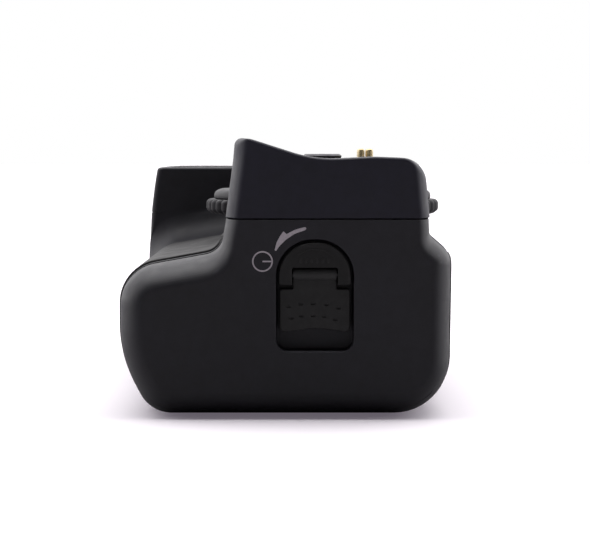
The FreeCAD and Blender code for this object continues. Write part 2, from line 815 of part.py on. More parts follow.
def make_contacts():
    floor = S.slot_high + 0.2
    top = S.contact_top - 2.7
    holder = block(
        "contact_holder",
        (S.contact_x - 5.5, S.contact_y - 2.8, floor),
        (S.contact_x + 5.5, S.contact_y + 2.8, top),
    )
    holes = [
        rod(f"contact_bore_{i}", (x, y, floor + 0.6), S.contact_radius + S.running_gap, 8)
        for i, (x, y) in enumerate(contact_places())
    ]
    node(cut("contact_block", holder, *holes))
    pins = []
    for i, (x, y) in enumerate(contact_places()):
        foot = floor + 0.8 + S.contact_travel
        pins.append(fuse(
            f"contact_pin_{i}",
            rod(f"contact_stem_{i}", (x, y, foot), S.contact_radius, S.contact_top - foot - 0.5),
            cone(f"contact_tip_{i}", (x, y, S.contact_top - 0.5), S.contact_radius, 0.35, 0.5),
        ))
    node(group("contact_pins", *pins))
    node(fuse(
        "guide_pin",
        rod("guide_root", (S.wheel_x + S.guide_offset, S.wheel_y, S.platform_z - 2), 2.6,
            2 + S.pad_thick),
        rod("guide_stem", (S.wheel_x + S.guide_offset, S.wheel_y, S.platform_z + S.pad_thick),
            S.guide_radius, S.guide_length),
        cone("guide_tip", (S.wheel_x + S.guide_offset, S.wheel_y,
                           S.platform_z + S.pad_thick + S.guide_length),
             S.guide_radius, S.guide_radius - 0.6, 0.8),
    ))


# ---------------------------------------------------------------- battery magazine

def make_cover():
    """End cover of the magazine, which closes the whole lower body and narrows a little towards its face."""
    over_seam = 2.7
    outline = covered(SECTION, S.seam_z + over_seam)
    body = doc.addObject("PartDesign::Body", "cover_form")
    depth = SIZES["half_length"] - SIZES["cover_back"]
    draft = math.degrees(math.atan2(SIZES["end_draft"], depth))
    add_pad(body, "cover_form", "x", outline, S.cover_back, S.half_length, draft)
    back, face = SIZES["cover_back"], SIZES["half_length"]
    highest = SIZES["seam_z"] + over_seam

    def rising_from(corner):
        foot = Vector(back, float(corner[0]), float(corner[1]))
        return lambda edge: (
            edge.BoundBox.XLength > depth / 2
            and any(v.Point.distanceToPoint(foot) < 0.02 for v in edge.Vertexes)
        )

    def on_face(edge):
        ends = [v.Point for v in edge.Vertexes]
        flat = all(abs(p.x - face) < 1e-3 for p in ends)
        return flat and not all(p.z > highest - 2 * SIZES["end_draft"] for p in ends)

    for corner, radius in zip(outline, SECTION_ROUNDS):
        if radius:
            round_edges(body, radius, rising_from(corner))
    round_edges(body, S.cover_round, on_face)
    under_seam = block(
        "under_seam",
        (S.cover_back - 1, S.bulge_y - 2, -1),
        (S.half_length + 1, S.back_y + 2, S.seam_z - S.seam_gap),
    )
    hollow = prism("cover_hollow", "x", grown(covered(SECTION, S.seam_z - S.seam_gap), -(S.wall + 0.8)),
                   S.cover_back - 1, S.half_length - S.wall, HOLLOW_ROUNDS)
    boss = block(
        "latch_boss",
        (S.cover_back - 2, S.key_y - S.key_radius - 3, S.recess_low - 2.4),
        (S.half_length, S.key_y + S.key_radius + 3, S.seam_z + 2),
    )
    deep = block(
        "boss_trim",
        (S.cover_back - 3, S.key_y - 20, -5),
        (S.cover_back + 4, S.key_y + 20, 60),
    )
    room = cut("cover_room", hollow, cut("latch_boss_trimmed", boss, deep))
    wide = S.key_radius + S.recess_gap
    pocket = prism("recess_form", "x", [
        (S.key_y - wide, S.recess_low),
        (S.key_y + wide, S.recess_low),
        (S.key_y + wide, S.key_z),
        (S.key_y - wide, S.key_z),
    ], S.recess_floor, S.half_length + 1, (2.2, 2.2, 0, 0))
    arch = rod("recess_arch", (S.recess_floor, S.key_y, S.key_z), wide, 6, "x")
    shaft_hole = rod("key_shaft_hole", (S.cover_back - 1, S.key_y, S.key_z), 3.05, 12, "x")
    return node(cut("end_cover", common("cover_trimmed", body, under_seam), room, pocket, arch, shaft_hole))


def make_magazine():
    cells = [
        rod(
            f"cell_{row}_{column}",
            (S.cell_end - S.cell_length - (S.cell_length + 0.3) * row, S.cell_y + S.cell_pitch * column,
             S.cell_z),
            S.cell_radius, S.cell_length, "x",
        )
        for row in (0, 1) for column in (-1, 0, 1)
    ]
    node(group("battery_cells", *cells))
    frame = block("tray_block", (S.tray_far, S.tray_front, S.tray_low),
                  (S.cover_back, S.tray_back, S.tray_high))
    far_cells = S.cell_end - S.cell_length * 2 - 0.3
    lanes = [
        rod(f"cell_lane_{column}", (far_cells - 1.8, S.cell_y + S.cell_pitch * column, S.cell_z),
            S.cell_radius + 0.05, S.cell_end - far_cells + 1.8 + 3.2, "x")
        for column in (-1, 0, 1)
    ]
    mouths = [
        block(
            f"lane_mouth_{column}",
            (far_cells - 1.8, S.cell_y + S.cell_pitch * column - S.cell_radius + 0.4, S.cell_z),
            (S.cell_end + 3.2, S.cell_y + S.cell_pitch * column + S.cell_radius - 0.4, S.tray_high + 1),
        )
        for column in (-1, 0, 1)
    ]
    node(cut("magazine_frame", frame, *lanes, *mouths))
    plates = [
        rod(f"spring_cone_{column}", (S.cell_end, S.cell_y + S.cell_pitch * column, S.cell_z), 2.4, 2.6, "x")
        for column in (-1, 0, 1)
    ]
    bores = [
        rod(f"spring_bore_{column}", (S.cell_end - 1, S.cell_y + S.cell_pitch * column, S.cell_z), 1.7, 5,
            "x")
        for column in (-1, 0, 1)
    ]
    node(group("magazine_springs", *[
        cut(f"spring_{i}", plate, bore) for i, (plate, bore) in enumerate(zip(plates, bores))
    ]))
    contacts = [
        block(
            f"cell_plate_{column}",
            (S.cell_end + 2.6, S.cell_y + S.cell_pitch * column - 5, S.cell_z - 5),
            (S.cell_end + 3.1, S.cell_y + S.cell_pitch * column + 5, S.cell_z + 5),
        )
        for column in (-1, 0, 1)
    ] + [
        block(
            f"far_plate_{column}",
            (far_cells - 1.7, S.cell_y + S.cell_pitch * column - 5, S.cell_z - 5),
            (far_cells - 0.1, S.cell_y + S.cell_pitch * column + 5, S.cell_z + 5),
        )
        for column in (-1, 0, 1)
    ]
    node(group("magazine_contacts", *contacts))


def make_latch():
    """Fold-out key that locks the magazine, its shaft and the cam behind the cover."""
    front = S.half_length
    plate_top = S.recess_floor + 0.9
    arch = common(
        "key_arch",
        rod("key_disc", (plate_top, S.key_y, S.key_z), S.key_radius, front - plate_top, "x"),
        block("key_upper", (plate_top, S.key_y - 20, S.key_z), (front, S.key_y + 20, S.key_z + 20)),
    )
    arms = block("key_arms", (plate_top, S.key_y - S.key_radius, S.key_foot),
                 (front, S.key_y + S.key_radius, S.key_z))
    base = rod("key_base", (S.recess_floor, S.key_y, S.key_z), S.key_radius, 0.9, "x")
    shaft = rod("key_shaft", (S.cover_back - 3.2, S.key_y, S.key_z), 3.0,
                S.recess_floor - S.cover_back + 3.2, "x")
    form = fuse("key_form", arch, arms, base, shaft)
    notch = block(
        "key_notch",
        (plate_top, S.key_y - S.tongue_half - 0.3, S.key_foot - 1),
        (front + 1, S.key_y + S.tongue_half + 0.3, S.hinge_z + S.knuckle_radius + 0.2),
    )
    pin_bore = rod("key_pin_bore", (S.hinge_x, S.key_y - 6.6, S.hinge_z), S.hinge_radius, 13.2, "y")
    node(cut("latch_key", form, notch, pin_bore))
    node(rod("latch_pin", (S.hinge_x, S.key_y - 6.5, S.hinge_z), S.hinge_radius, 13.0, "y"))
    blade = prism("tab_blade", "x", [
        (S.key_y - S.tab_half, S.tab_low),
        (S.key_y, S.tab_low + 0.96),
        (S.key_y + S.tab_half, S.tab_low),
        (S.key_y + S.tab_half, S.tab_high),
        (S.key_y + S.tongue_half, S.tab_high),
        (S.key_y + S.tongue_half, S.hinge_z),
        (S.key_y - S.tongue_half, S.hinge_z),
        (S.key_y - S.tongue_half, S.tab_high),
        (S.key_y - S.tab_half, S.tab_high),
    ], S.tab_back, S.tab_front, (0.8, 12, 0.8, 0.4, 0, 0, 0, 0, 0.4))
    knuckle = rod("tab_knuckle", (S.hinge_x, S.key_y - S.tongue_half, S.hinge_z), S.knuckle_radius,
                  S.tongue_half * 2, "y")
    bore = rod("tab_bore", (S.hinge_x, S.key_y - 8, S.hinge_z), S.hinge_radius + S.running_gap, 16, "y")
    node(cut("latch_tab", fuse("tab_form", blade, knuckle), bore))
    cam = block("cam_bar", (S.cover_back - 5.2, S.key_y - 8, S.key_z - 2.5),
                (S.cover_back - 3.2, S.key_y + 8, S.key_z + 2.5))
    node(cut("latch_cam", cam, rod("cam_bore", (S.cover_back - 6, S.key_y, S.key_z), 1.0, 4, "x")))
    node(screws("cam_screw", [(S.cover_back - 6.2, S.key_y, S.key_z)], 2.0, 1.0, 1.0, 2.0, "-x"))


def make_magazine_guide():
    """Sleeve that the magazine slides in, and the frame round its mouth."""
    gap = 0.35
    outer = block(
        "sleeve_block",
        (S.tray_far - 3, S.tray_front - gap - 1, S.tray_low - gap - 1),
        (S.shell_end - 3, S.tray_back + gap + 1, S.tray_high + gap + 1),
    )
    inner = block(
        "sleeve_room",
        (S.tray_far - 0.5, S.tray_front - gap, S.tray_low - gap),
        (S.shell_end + 5, S.tray_back + gap, S.tray_high + gap),
    )
    node(cut("battery_sleeve", outer, inner))
    filler = make_hollow("mouth_form", S.shell_end - 3, S.shell_end - 0.4, 0.1)
    mouth = block(
        "mouth_opening",
        (S.shell_end - 5, S.tray_front - gap, S.tray_low - gap),
        (S.shell_end + 5, S.tray_back + gap, S.tray_high + gap),
    )
    cam_window = block(
        "cam_window",
        (S.shell_end - 5, S.key_y - 9, S.tray_high),
        (S.shell_end + 5, S.key_y + 9, S.key_z + 4),
    )
    wire_window = block(
        "wire_window",
        (S.shell_end - 5, S.bulge_y + S.wall + 2.0, S.tray_low + 3.5),
        (S.shell_end + 5, S.tray_front - gap - 1.5, S.tray_high + 0.4),
    )
    node(cut("mouth_frame", filler, mouth, cam_window, wire_window))


# ---------------------------------------------------------------- buttons and dials

def press_button(name, x, z, radius, proud):
    """A round back button with a flange that keeps it inside the wall."""
    face = S.back_y + proud
    inner = S.back_y - S.wall
    return node(fuse(
        name,
        rod(name + "_cap", (x, inner, z), radius, face - inner - 0.3, "y"),
        cone(name + "_crown", (x, face - 0.3, z), radius, radius - 0.3, 0.3, "y"),
        rod(name + "_flange", (x, inner - 0.7, z), radius + 0.8, 0.6, "y"),
        rod(name + "_step", (x, inner - 0.1, z), radius, 0.2, "y"),
    ))


def make_dial(name, side):
    """A knurled thumb wheel on its pin, held by a small bracket."""
    centre_y = S.dial_y * side
    blank = feature(
        name + "_blank",
        knurled_disc(36, SIZES["dial_radius"], SIZES["dial_radius"] - 0.7,
                     -SIZES["dial_half"], SIZES["dial_half"], 0.6, 0.6),
        (S.dial_x, centre_y, S.dial_z), ALONG["x"],
    )
    reach = S.dial_half + 3
    node(cut(name, blank, rod(name + "_bore", (S.dial_x - 5, centre_y, S.dial_z), 1.55, 10, "x")))
    node(rod(name + "_pin", (S.dial_x - reach, centre_y, S.dial_z), 1.5, reach * 2, "x"))
    inward = -side
    near_y = centre_y - 3
    far_y = centre_y + 3
    cheek_places = (S.dial_x - reach + 0.8, S.dial_x + reach - 0.8 - S.bracket_thick)
    cheeks = [
        block(f"{name}_cheek_{i}", (x, near_y, S.dial_z - 3), (x + S.bracket_thick, far_y, S.dial_z + 3))
        for i, x in enumerate(cheek_places)
    ]
    clear_of_dial = 9.2
    web_low = centre_y + clear_of_dial if inward > 0 else centre_y - clear_of_dial - S.bracket_thick
    bridges = [
        block(
            f"{name}_arm_{i}",
            (x, near_y if inward > 0 else web_low, S.dial_z - 3),
            (x + S.bracket_thick, web_low + S.bracket_thick if inward > 0 else far_y, S.dial_z + 3),
        )
        for i, x in enumerate(cheek_places)
    ]
    web = block(
        f"{name}_web",
        (S.dial_x - reach + 0.8, web_low, S.dial_z - 3),
        (S.dial_x + reach - 0.8, web_low + S.bracket_thick, S.dial_z + 3),
    )
    holes = rod(name + "_pin_bore", (S.dial_x - reach - 1, centre_y, S.dial_z), 1.5, reach * 2 + 2, "x")
    node(cut(name + "_bracket", fuse(name + "_bracket_form", *cheeks, *bridges, web), holes))


def make_release():
    """Shutter release at the far end, inside a lock ring that turns about it."""
    end = -S.half_length
    collar = rod("collar_tube", (end + 0.9, S.release_y, S.release_z), 5.8, S.end_wall - 0.9, "x")
    node(cut("release_collar", collar,
             rod("collar_bore", (end, S.release_y, S.release_z), S.release_radius + S.running_gap, 8, "x")))
    ring = rod("ring_disc", (end + 0.2, S.release_y, S.release_z), S.ring_radius, 1.9, "x")
    lever = block("ring_lever", (end + 0.2, S.release_y - 1.3, S.release_z + S.ring_radius - 4),
                  (end + 0.2 + 1.9, S.release_y + 1.3, S.release_z + S.ring_radius - 0.2))
    node(cut("release_lock_ring", fuse("ring_form", ring, lever),
             rod("ring_bore", (end - 1, S.release_y, S.release_z), 6.05, 5, "x")))
    node(fuse(
        "release_button",
        cone("release_crown", (end + 0.1, S.release_y, S.release_z), S.release_radius - 0.5,
             S.release_radius, 0.5, "x"),
        rod("release_stem", (end + 0.6, S.release_y, S.release_z), S.release_radius, S.end_wall - 0.3, "x"),
        rod("release_flange", (end + S.end_wall + 0.3, S.release_y, S.release_z),
            S.release_radius + 1.5, 0.8, "x"),
    ))
    node(block(
        "release_switch",
        (end + S.end_wall + 3.2, S.release_y - 3, S.release_z - 3),
        (end + S.end_wall + 6.4, S.release_y + 3, S.release_z + 3),
    ))


def make_panel():
    """Trigger controls on the back: test button, channel dial, power switch and status light."""
    outer = S.back_y + S.skin
    plate = prism("panel_form", "y", [
        (S.panel_low_x + 0.2, S.panel_low_z + 0.2),
        (S.panel_high_x - 0.2, S.panel_low_z + 0.2),
        (S.panel_high_x - 0.2, S.panel_high_z - 0.2),
        (S.panel_low_x + 0.2, S.panel_high_z - 0.2),
    ], S.back_y - 0.8, outer, (2, 2, 2, 2))
    openings = [
        rod("test_hole", (S.test_x, S.back_y - 3, S.panel_z), S.button_radius + 0.1, 6, "y"),
        rod("channel_hole", (S.channel_x, S.back_y - 3, S.panel_z), 2.0 + S.running_gap, 6, "y"),
        block("power_slot", (S.power_x - 4.2, S.back_y - 3, S.panel_z - 1.1),
              (S.power_x + 4.2, S.back_y + 3, S.panel_z + 1.1)),
        rod("light_hole", (S.test_x, S.back_y - 3, S.panel_z + 6.4), 1.2, 6, "y"),
    ]
    node(cut("control_panel", plate, *openings))
    node(rod("status_light", (S.test_x, S.back_y - 1.6, S.panel_z + 6.4), 1.2, 2.2, "y"))
    node(fuse(
        "test_button",
        rod("test_cap", (S.test_x, S.back_y - 0.9, S.panel_z), S.button_radius, 1.7, "y"),
        cone("test_crown", (S.test_x, S.back_y + 0.8, S.panel_z), S.button_radius,
             S.button_radius - 0.3, 0.3, "y"),
        rod("test_flange", (S.test_x, S.back_y - 1.6, S.panel_z), S.button_radius + 0.9, 0.7, "y"),
    ))
    dial = feature("channel_blank", knurled_disc(24, 5.6, 5.2, 0, 0.75, 0.05, 0.3),
                   (S.channel_x, S.back_y + S.skin + 0.05, S.panel_z), ALONG["y"])
    node(fuse(
        "channel_dial", dial,
        rod("channel_shaft", (S.channel_x, S.back_y - 2.2, S.panel_z), 2.0, 2.8, "y"),
        rod("channel_collar", (S.channel_x, S.back_y - 2.2, S.panel_z), 3.2, 1.1, "y"),
    ))
    node(fuse(
        "power_switch",
        block("power_knob", (S.power_x - 4.5, S.back_y + S.skin + 0.05, S.panel_z - 2),
              (S.power_x + 0.5, S.back_y + S.skin + 0.75, S.panel_z + 2)),
        block("power_stem", (S.power_x - 4.0, S.back_y - 2.2, S.panel_z - 0.9),
              (S.power_x + 0.0, S.back_y + S.skin + 0.1, S.panel_z + 0.9)),
    ))
    node(block(
        "switch_board",
        (S.panel_low_x + 2, S.back_y - 4.4, S.panel_low_z + 2),
        (S.panel_high_x - 2, S.back_y - 3.2, S.panel_high_z - 2),
    ))


# ---------------------------------------------------------------- electronics

def make_boards():
    low = S.tray_high + S.board_lift
    face = low + S.board_thick
    node(block("main_board", (-46, -8, low), (40, 26, face)))
    chips = [((-38, 0), (-26, 12), 1.6), ((-20, 14), (-12, 22), 1.2), ((0, -4), (9, 4), 1.0),
             ((22, 2), (30, 18), 1.4), ((34, 6), (38, 10), 2.4)]
    node(group("board_chips", *[
        block(f"chip_{i}", (*start, face), (*stop, face + tall))
        for i, (start, stop, tall) in enumerate(chips)
    ]))
    posts = [(-43, -5), (-43, 23), (37, -5), (37, 23)]
    node(group("board_posts", *[
        rod(f"board_post_{i}", (x, y, S.tray_high + 1.35), 1.8, S.board_lift - 1.35)
        for i, (x, y) in enumerate(posts)
    ]))
    radio_low = face + S.radio_lift
    radio_face = radio_low + S.radio_thick
    node(block("radio_board", (-42, -4, radio_low), (-14, 22, radio_face)))
    node(group("radio_posts", *[
        rod(f"radio_post_{i}", (x, y, face), 1.2, S.radio_lift)
        for i, (x, y) in enumerate([(-40, -2), (-40, 20), (-16, -2), (-16, 12)])
    ]))
    low_x, high_x, depth = -38, -22, 16
    can = block("shield_block", (low_x, 0, radio_face), (high_x, depth, radio_face + S.shield_tall))
    hollow = block(
        "shield_room",
        (low_x + S.shield_wall, S.shield_wall, radio_low),
        (high_x - S.shield_wall, depth - S.shield_wall, radio_face + S.shield_tall - S.shield_wall),
    )
    node(cut("radio_shield", can, hollow))
    node(fuse(
        "antenna",
        block("antenna_board", (66, -6, S.seam_z + 2.6), (67, 22, S.cap_top - 0.6)),
        block("antenna_foot", (61, 4, S.seam_z + 1.6), (67, 12, S.seam_z + 2.6)),
    ))
    terminals = [
        block(
            f"terminal_{i}",
            (S.tray_far - 0.5, y - 3, S.cell_z - 3),
            (S.tray_far - 0.1, y + 3, S.cell_z + 3),
        )
        for i, y in enumerate((-10.5, 19.9))
    ]
    node(group("battery_terminals", *terminals))


# ---------------------------------------------------------------- build

def check_and_write():
    doc.recompute()
    for thing in doc.Objects:
        if "Invalid" in thing.State or "Error" in thing.State:
            raise RuntimeError(f"{thing.Name} failed: {thing.State}")
    for thing in NODES:
        if thing.Shape.isNull() or not thing.Shape.isValid() or not thing.Shape.Solids:
            raise RuntimeError(f"{thing.Label} has no valid solid")
    os.makedirs("parts", exist_ok=True)
    for thing in NODES:
        thing.Shape.exportStep(os.path.join("parts", thing.Label + ".step"))
        print(thing.Label, len(thing.Shape.Solids), round(thing.Shape.Volume, 1))


make_lower_shell()
make_upper_shell()
make_tower_cap()
make_platform_pad()
make_skins()
make_base()
make_wheel()
make_contacts()
make_cover()
make_magazine()
make_latch()
make_magazine_guide()
press_button("exposure_lock_button", S.lock_button_x, S.back_button_z, S.button_radius, 1.0)
press_button("focus_button", S.focus_button_x, S.back_button_z, S.button_radius, 1.0)
make_dial("front_dial", -1)
make_dial("rear_dial", 1)
make_release()
make_panel()
make_boards()
check_and_write()
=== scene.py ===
import math

import bmesh
import bpy
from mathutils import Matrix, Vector


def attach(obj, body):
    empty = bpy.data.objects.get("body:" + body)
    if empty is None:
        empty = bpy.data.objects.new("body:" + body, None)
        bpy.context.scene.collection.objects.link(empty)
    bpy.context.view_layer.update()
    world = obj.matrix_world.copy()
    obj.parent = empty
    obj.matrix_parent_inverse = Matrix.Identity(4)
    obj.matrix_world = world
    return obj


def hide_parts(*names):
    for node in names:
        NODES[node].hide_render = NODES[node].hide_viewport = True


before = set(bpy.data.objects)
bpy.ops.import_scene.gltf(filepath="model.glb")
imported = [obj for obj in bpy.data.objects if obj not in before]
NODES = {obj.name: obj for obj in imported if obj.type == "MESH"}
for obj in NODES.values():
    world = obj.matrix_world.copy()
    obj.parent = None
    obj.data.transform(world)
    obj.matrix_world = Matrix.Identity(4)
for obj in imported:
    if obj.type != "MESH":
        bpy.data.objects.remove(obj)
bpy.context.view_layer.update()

# Looks of a vertical camera grip with a built-in flash-trigger radio.
# Shapes are worked out in millimetres in the CAD frame and scaled to metres when a piece is finished.

MM = 0.001
SCENE = bpy.context.scene
COLLECTION = SCENE.collection


# ---------------------------------------------------------------- outlines and solids

LEAST_RADIUS = 2.0
STRAIGHT = 0.02


def rounded(points, radii, insets=0.0, steps=8, cuts=3):
    """A closed outline with rounded corners. Its point count doesn't depend on the insets."""
    spots = [Vector(p) for p in points]
    count = len(spots)
    if not hasattr(insets, "__len__"):
        insets = [insets] * count
    following = spots[1:] + spots[:1]
    side = 1.0 if sum(a.cross(b) for a, b in zip(spots, following)) > 0 else -1.0
    inward = []
    for a, b in zip(spots, following):
        run = (b - a).normalized()
        inward.append(Vector((-run.y, run.x)) * side)
    moved = []
    for i, spot in enumerate(spots):
        before, after = inward[i - 1], inward[i]
        share = before.dot(after)
        near, far = insets[i - 1], insets[i]
        if 1 - share * share < 1e-6:
            moved.append(spot + after * (near + far) / 2)
        else:
            a = (near - share * far) / (1 - share * share)
            b = (far - share * near) / (1 - share * share)
            moved.append(spot + before * a + after * b)
    arms = []
    for i, spot in enumerate(moved):
        u, v = (moved[i - 1] - spot).normalized(), (moved[(i + 1) % count] - spot).normalized()
        turn = math.acos(max(-1.0, min(1.0, -u.dot(v))))
        convex = u.cross(v) * side < 0
        near, far = insets[i - 1], insets[i]
        radius = radii[i] + min(near, far)
        if convex:
            radius = max(radii[i] - max(near, far), min(radii[i], LEAST_RADIUS))
        arms.append((u, v, turn, max(radius * math.tan(turn / 2), 0.02) if turn > STRAIGHT else 0.5))
    shares = []
    for i in range(count):
        room = 0.95 * (moved[(i + 1) % count] - moved[i]).length
        shares.append(min(1.0, room / (arms[i][-1] + arms[(i + 1) % count][-1])))
    arcs = []
    for i, spot in enumerate(moved):
        u, v, turn, tangent = arms[i]
        tangent *= min(shares[i - 1], shares[i])
        if turn <= STRAIGHT:
            start, end = spot + u * tangent, spot + v * tangent
            arcs.append([start.lerp(end, k / steps) for k in range(steps + 1)])
            continue
        radius = tangent / math.tan(turn / 2)
        centre = spot + (u + v).normalized() * (radius / math.cos(turn / 2))
        spoke = spot + u * tangent - centre
        way = turn if u.cross(v) < 0 else -turn
        arc = []
        for k in range(steps + 1):
            c, s = math.cos(way * k / steps), math.sin(way * k / steps)
            arc.append(centre + Vector((spoke.x * c - spoke.y * s, spoke.x * s + spoke.y * c)))
        arcs.append(arc)
    outline = []
    for i, arc in enumerate(arcs):
        outline += arc
        target = arcs[(i + 1) % count][0]
        outline += [arc[-1].lerp(target, (k + 1) / (cuts + 1)) for k in range(cuts)]
    return [(p.x, p.y) for p in outline]


def reach_and_pull(edge):
    """An edge's rounding: how deep it reaches and how far it pulls in. A plain number is a circular one."""
    return edge if hasattr(edge, "__len__") else (edge, edge)


def edge_inset(depth, edge):
    """How far a rounded edge pulls an outline in, at a depth below the end face."""
    reach, pull = reach_and_pull(edge)
    if depth >= reach or reach <= 0:
        return 0.0
    return pull * (1 - math.sqrt(max(1 - (1 - depth / reach) ** 2, 0.0)))


TURN = {
    "x": lambda h, a, b: (h, a, b),
    "y": lambda h, a, b: (a, h, b),
    "z": lambda h, a, b: (a, b, h),
}


def bar_rings(points, radii, low, high, low_rounds=0.0, high_rounds=0.0, along="x", steps=8, cuts=3, arc=7,
              inset=0.0):
    """Rings of an outline pushed along an axis, with each end edge rounded by a radius of its own."""
    count = len(points)
    ends = []
    for rounds in (low_rounds, high_rounds):
        ends.append(list(rounds) if hasattr(rounds, "__len__") else [rounds] * count)
    stations = {low, high}
    for end, direction, rounds in ((low, 1, ends[0]), (high, -1, ends[1])):
        for reach in sorted({reach_and_pull(edge)[0] for edge in rounds}):
            if reach > 0:
                for k in range(arc + 1):
                    stations.add(end + direction * reach * (1 - math.sin(k / arc * math.pi / 2)))
    kept = []
    for h in sorted(stations):
        if not kept or h - kept[-1] > 0.012:
            kept.append(h)
    kept[-1] = high
    rings = []
    for h in kept:
        insets = [inset + max(edge_inset(h - low, a), edge_inset(high - h, b)) for a, b in zip(*ends)]
        rings.append([TURN[along](h, *p) for p in rounded(points, radii, insets, steps, cuts)])
    return rings


def turned_rings(profile, centre, along="z", steps=64, shape=None):
    """Rings about an axis through centre. The profile is a list of (radius, place along the axis)."""
    rings = []
    for radius, height in profile:
        ring = []
        for k in range(steps):
            angle = 2 * math.pi * k / steps
            r = shape(angle, radius, height) if shape else radius
            a, b = r * math.cos(angle), r * math.sin(angle)
            p = TURN[along](height, a, b)
            ring.append(tuple(c + q for c, q in zip(centre, p)))
        rings.append(ring)
    return rings


def solid(rings, loop=False):
    """A closed mesh in millimetres from matched rings."""
    mesh = bpy.data.meshes.new("solid")
    verts = [p for ring in rings for p in ring]
    n = len(rings[0])
    faces = []
    last = len(rings) if loop else len(rings) - 1
    for i in range(last):
        j = (i + 1) % len(rings)
        for k in range(n):
            m = (k + 1) % n
            faces.append((i * n + k, i * n + m, j * n + m, j * n + k))
    if not loop:
        faces.append(tuple(range(n))[::-1])
        faces.append(tuple(range((len(rings) - 1) * n, len(rings) * n)))
    mesh.from_pydata(verts, [], faces)
    obj = bpy.data.objects.new("solid", mesh)
    COLLECTION.objects.link(obj)
    tidy_mesh(mesh)
    return obj


def tidy_mesh(mesh, weld=2e-4):
    bm = bmesh.new()
    bm.from_mesh(mesh)
    bmesh.ops.remove_doubles(bm, verts=bm.verts, dist=weld)
    bmesh.ops.dissolve_degenerate(bm, edges=bm.edges, dist=weld)
    bmesh.ops.recalc_face_normals(bm, faces=bm.faces)
    bm.to_mesh(mesh)
    bm.free()


def bar(*args, **words):
    return solid(bar_rings(*args, **words))


def corners(low, high):
    return [(low[0], low[1]), (high[0], low[1]), (high[0], high[1]), (low[0], high[1])]


def box(low, high, edge=0.0):
    """A cuboid with rounded edges."""
    return bar(corners(low, high), [max(edge, 0.02)] * 4, low[2], high[2], edge, edge, "z", steps=3, cuts=0,
               arc=3)


def combine(base, tools, operation="DIFFERENCE"):
    """Cuts the tools away from the base, or joins them on. The tools are used up."""
    for tool in tools:
        step = base.modifiers.new("step", "BOOLEAN")
        step.operation, step.solver, step.object = operation, "EXACT", tool
    graph = bpy.context.evaluated_depsgraph_get()
    graph.update()
    made = bpy.data.meshes.new_from_object(base.evaluated_get(graph))
    old = base.data
    base.modifiers.clear()
    base.data = made
    bpy.data.meshes.remove(old)
    for tool in tools:
        bpy.data.meshes.remove(tool.data)


def joined(first, *others):
    """Several separate shells as one mesh."""
    bm = bmesh.new()
    for obj in (first, *others):
        bm.from_mesh(obj.data)
    bm.to_mesh(first.data)
    bm.free()
    for obj in others:
        bpy.data.meshes.remove(obj.data)
    return first


def finish(obj, name, body, material, replaced=(), sharp=32, weld=2e-4):
    """Names a shape, scales it to metres and hangs it on its body."""
    mesh = obj.data
    tidy_mesh(mesh, weld)
    for vertex in mesh.vertices:
        vertex.co = vertex.co * MM
    obj.name = mesh.name = name
    mesh.materials.clear()
    mesh.materials.append(material)
    mesh.shade_smooth()
    mesh.set_sharp_from_angle(angle=math.radians(sharp))
    normals = obj.modifiers.new("normals", "WEIGHTED_NORMAL")
    normals.keep_sharp = True
    normals.weight = 80
    if replaced:
        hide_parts(*replaced)
    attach(obj, body)


# ---------------------------------------------------------------- materials

def new_material(name, colour, roughness, **fixed):
    """A Principled material. Returns it, functions that add and link nodes, and the object's coordinates."""
    material = bpy.data.materials.new(name)
    material.use_nodes = True
    tree = material.node_tree
    shader = tree.nodes["Principled BSDF"]
    shader.inputs["Base Color"].default_value = (*colour, 1)
    shader.inputs["Roughness"].default_value = roughness
    for socket, value in fixed.items():
        shader.inputs[socket.replace("_", " ")].default_value = value

    def add(kind, inputs=None, **settings):
        made = tree.nodes.new("ShaderNode" + kind)
        for key, value in settings.items():
            setattr(made, key, value)
        for key, value in (inputs or {}).items():
            socket = made.inputs[key]
            if isinstance(value, bpy.types.NodeSocket):
                tree.links.new(value, socket)
            else:
                socket.default_value = value
        return made

    def link(value, socket):
        tree.links.new(value, shader.inputs[socket])

    return material, add, link, add("TexCoord").outputs["Object"]


def noise(add, place, scale, detail, roughness=0.5):
    made = add("TexNoise", {"Vector": place, "Scale": scale, "Detail": detail, "Roughness": roughness})
    return made.outputs["Fac"]


def times(add, first, second):
    return add("Math", {0: first, 1: second}, operation="MULTIPLY").outputs[0]


def relief(add, height, strength, distance):
    return add("Bump", {"Strength": strength, "Distance": distance, "Height": height}).outputs["Normal"]


def ramp(add, source, low, high, to_low=0.0, to_high=1.0):
    limits = {"From Min": low, "From Max": high, "To Min": to_low, "To Max": to_high}
    return add("MapRange", {"Value": source, **limits}).outputs["Result"]


def mix(add, share, first, second):
    made = add("Mix", data_type="RGBA")
    tree = made.id_data
    for index, value in ((0, share), (6, first), (7, second)):
        socket = made.inputs[index]
        if isinstance(value, bpy.types.NodeSocket):
            tree.links.new(value, socket)
        elif index:
            socket.default_value = (*value, 1)
        else:
            socket.default_value = value
    return made.outputs[2]


def shade(colour, factor):
    return tuple(c * factor for c in colour)


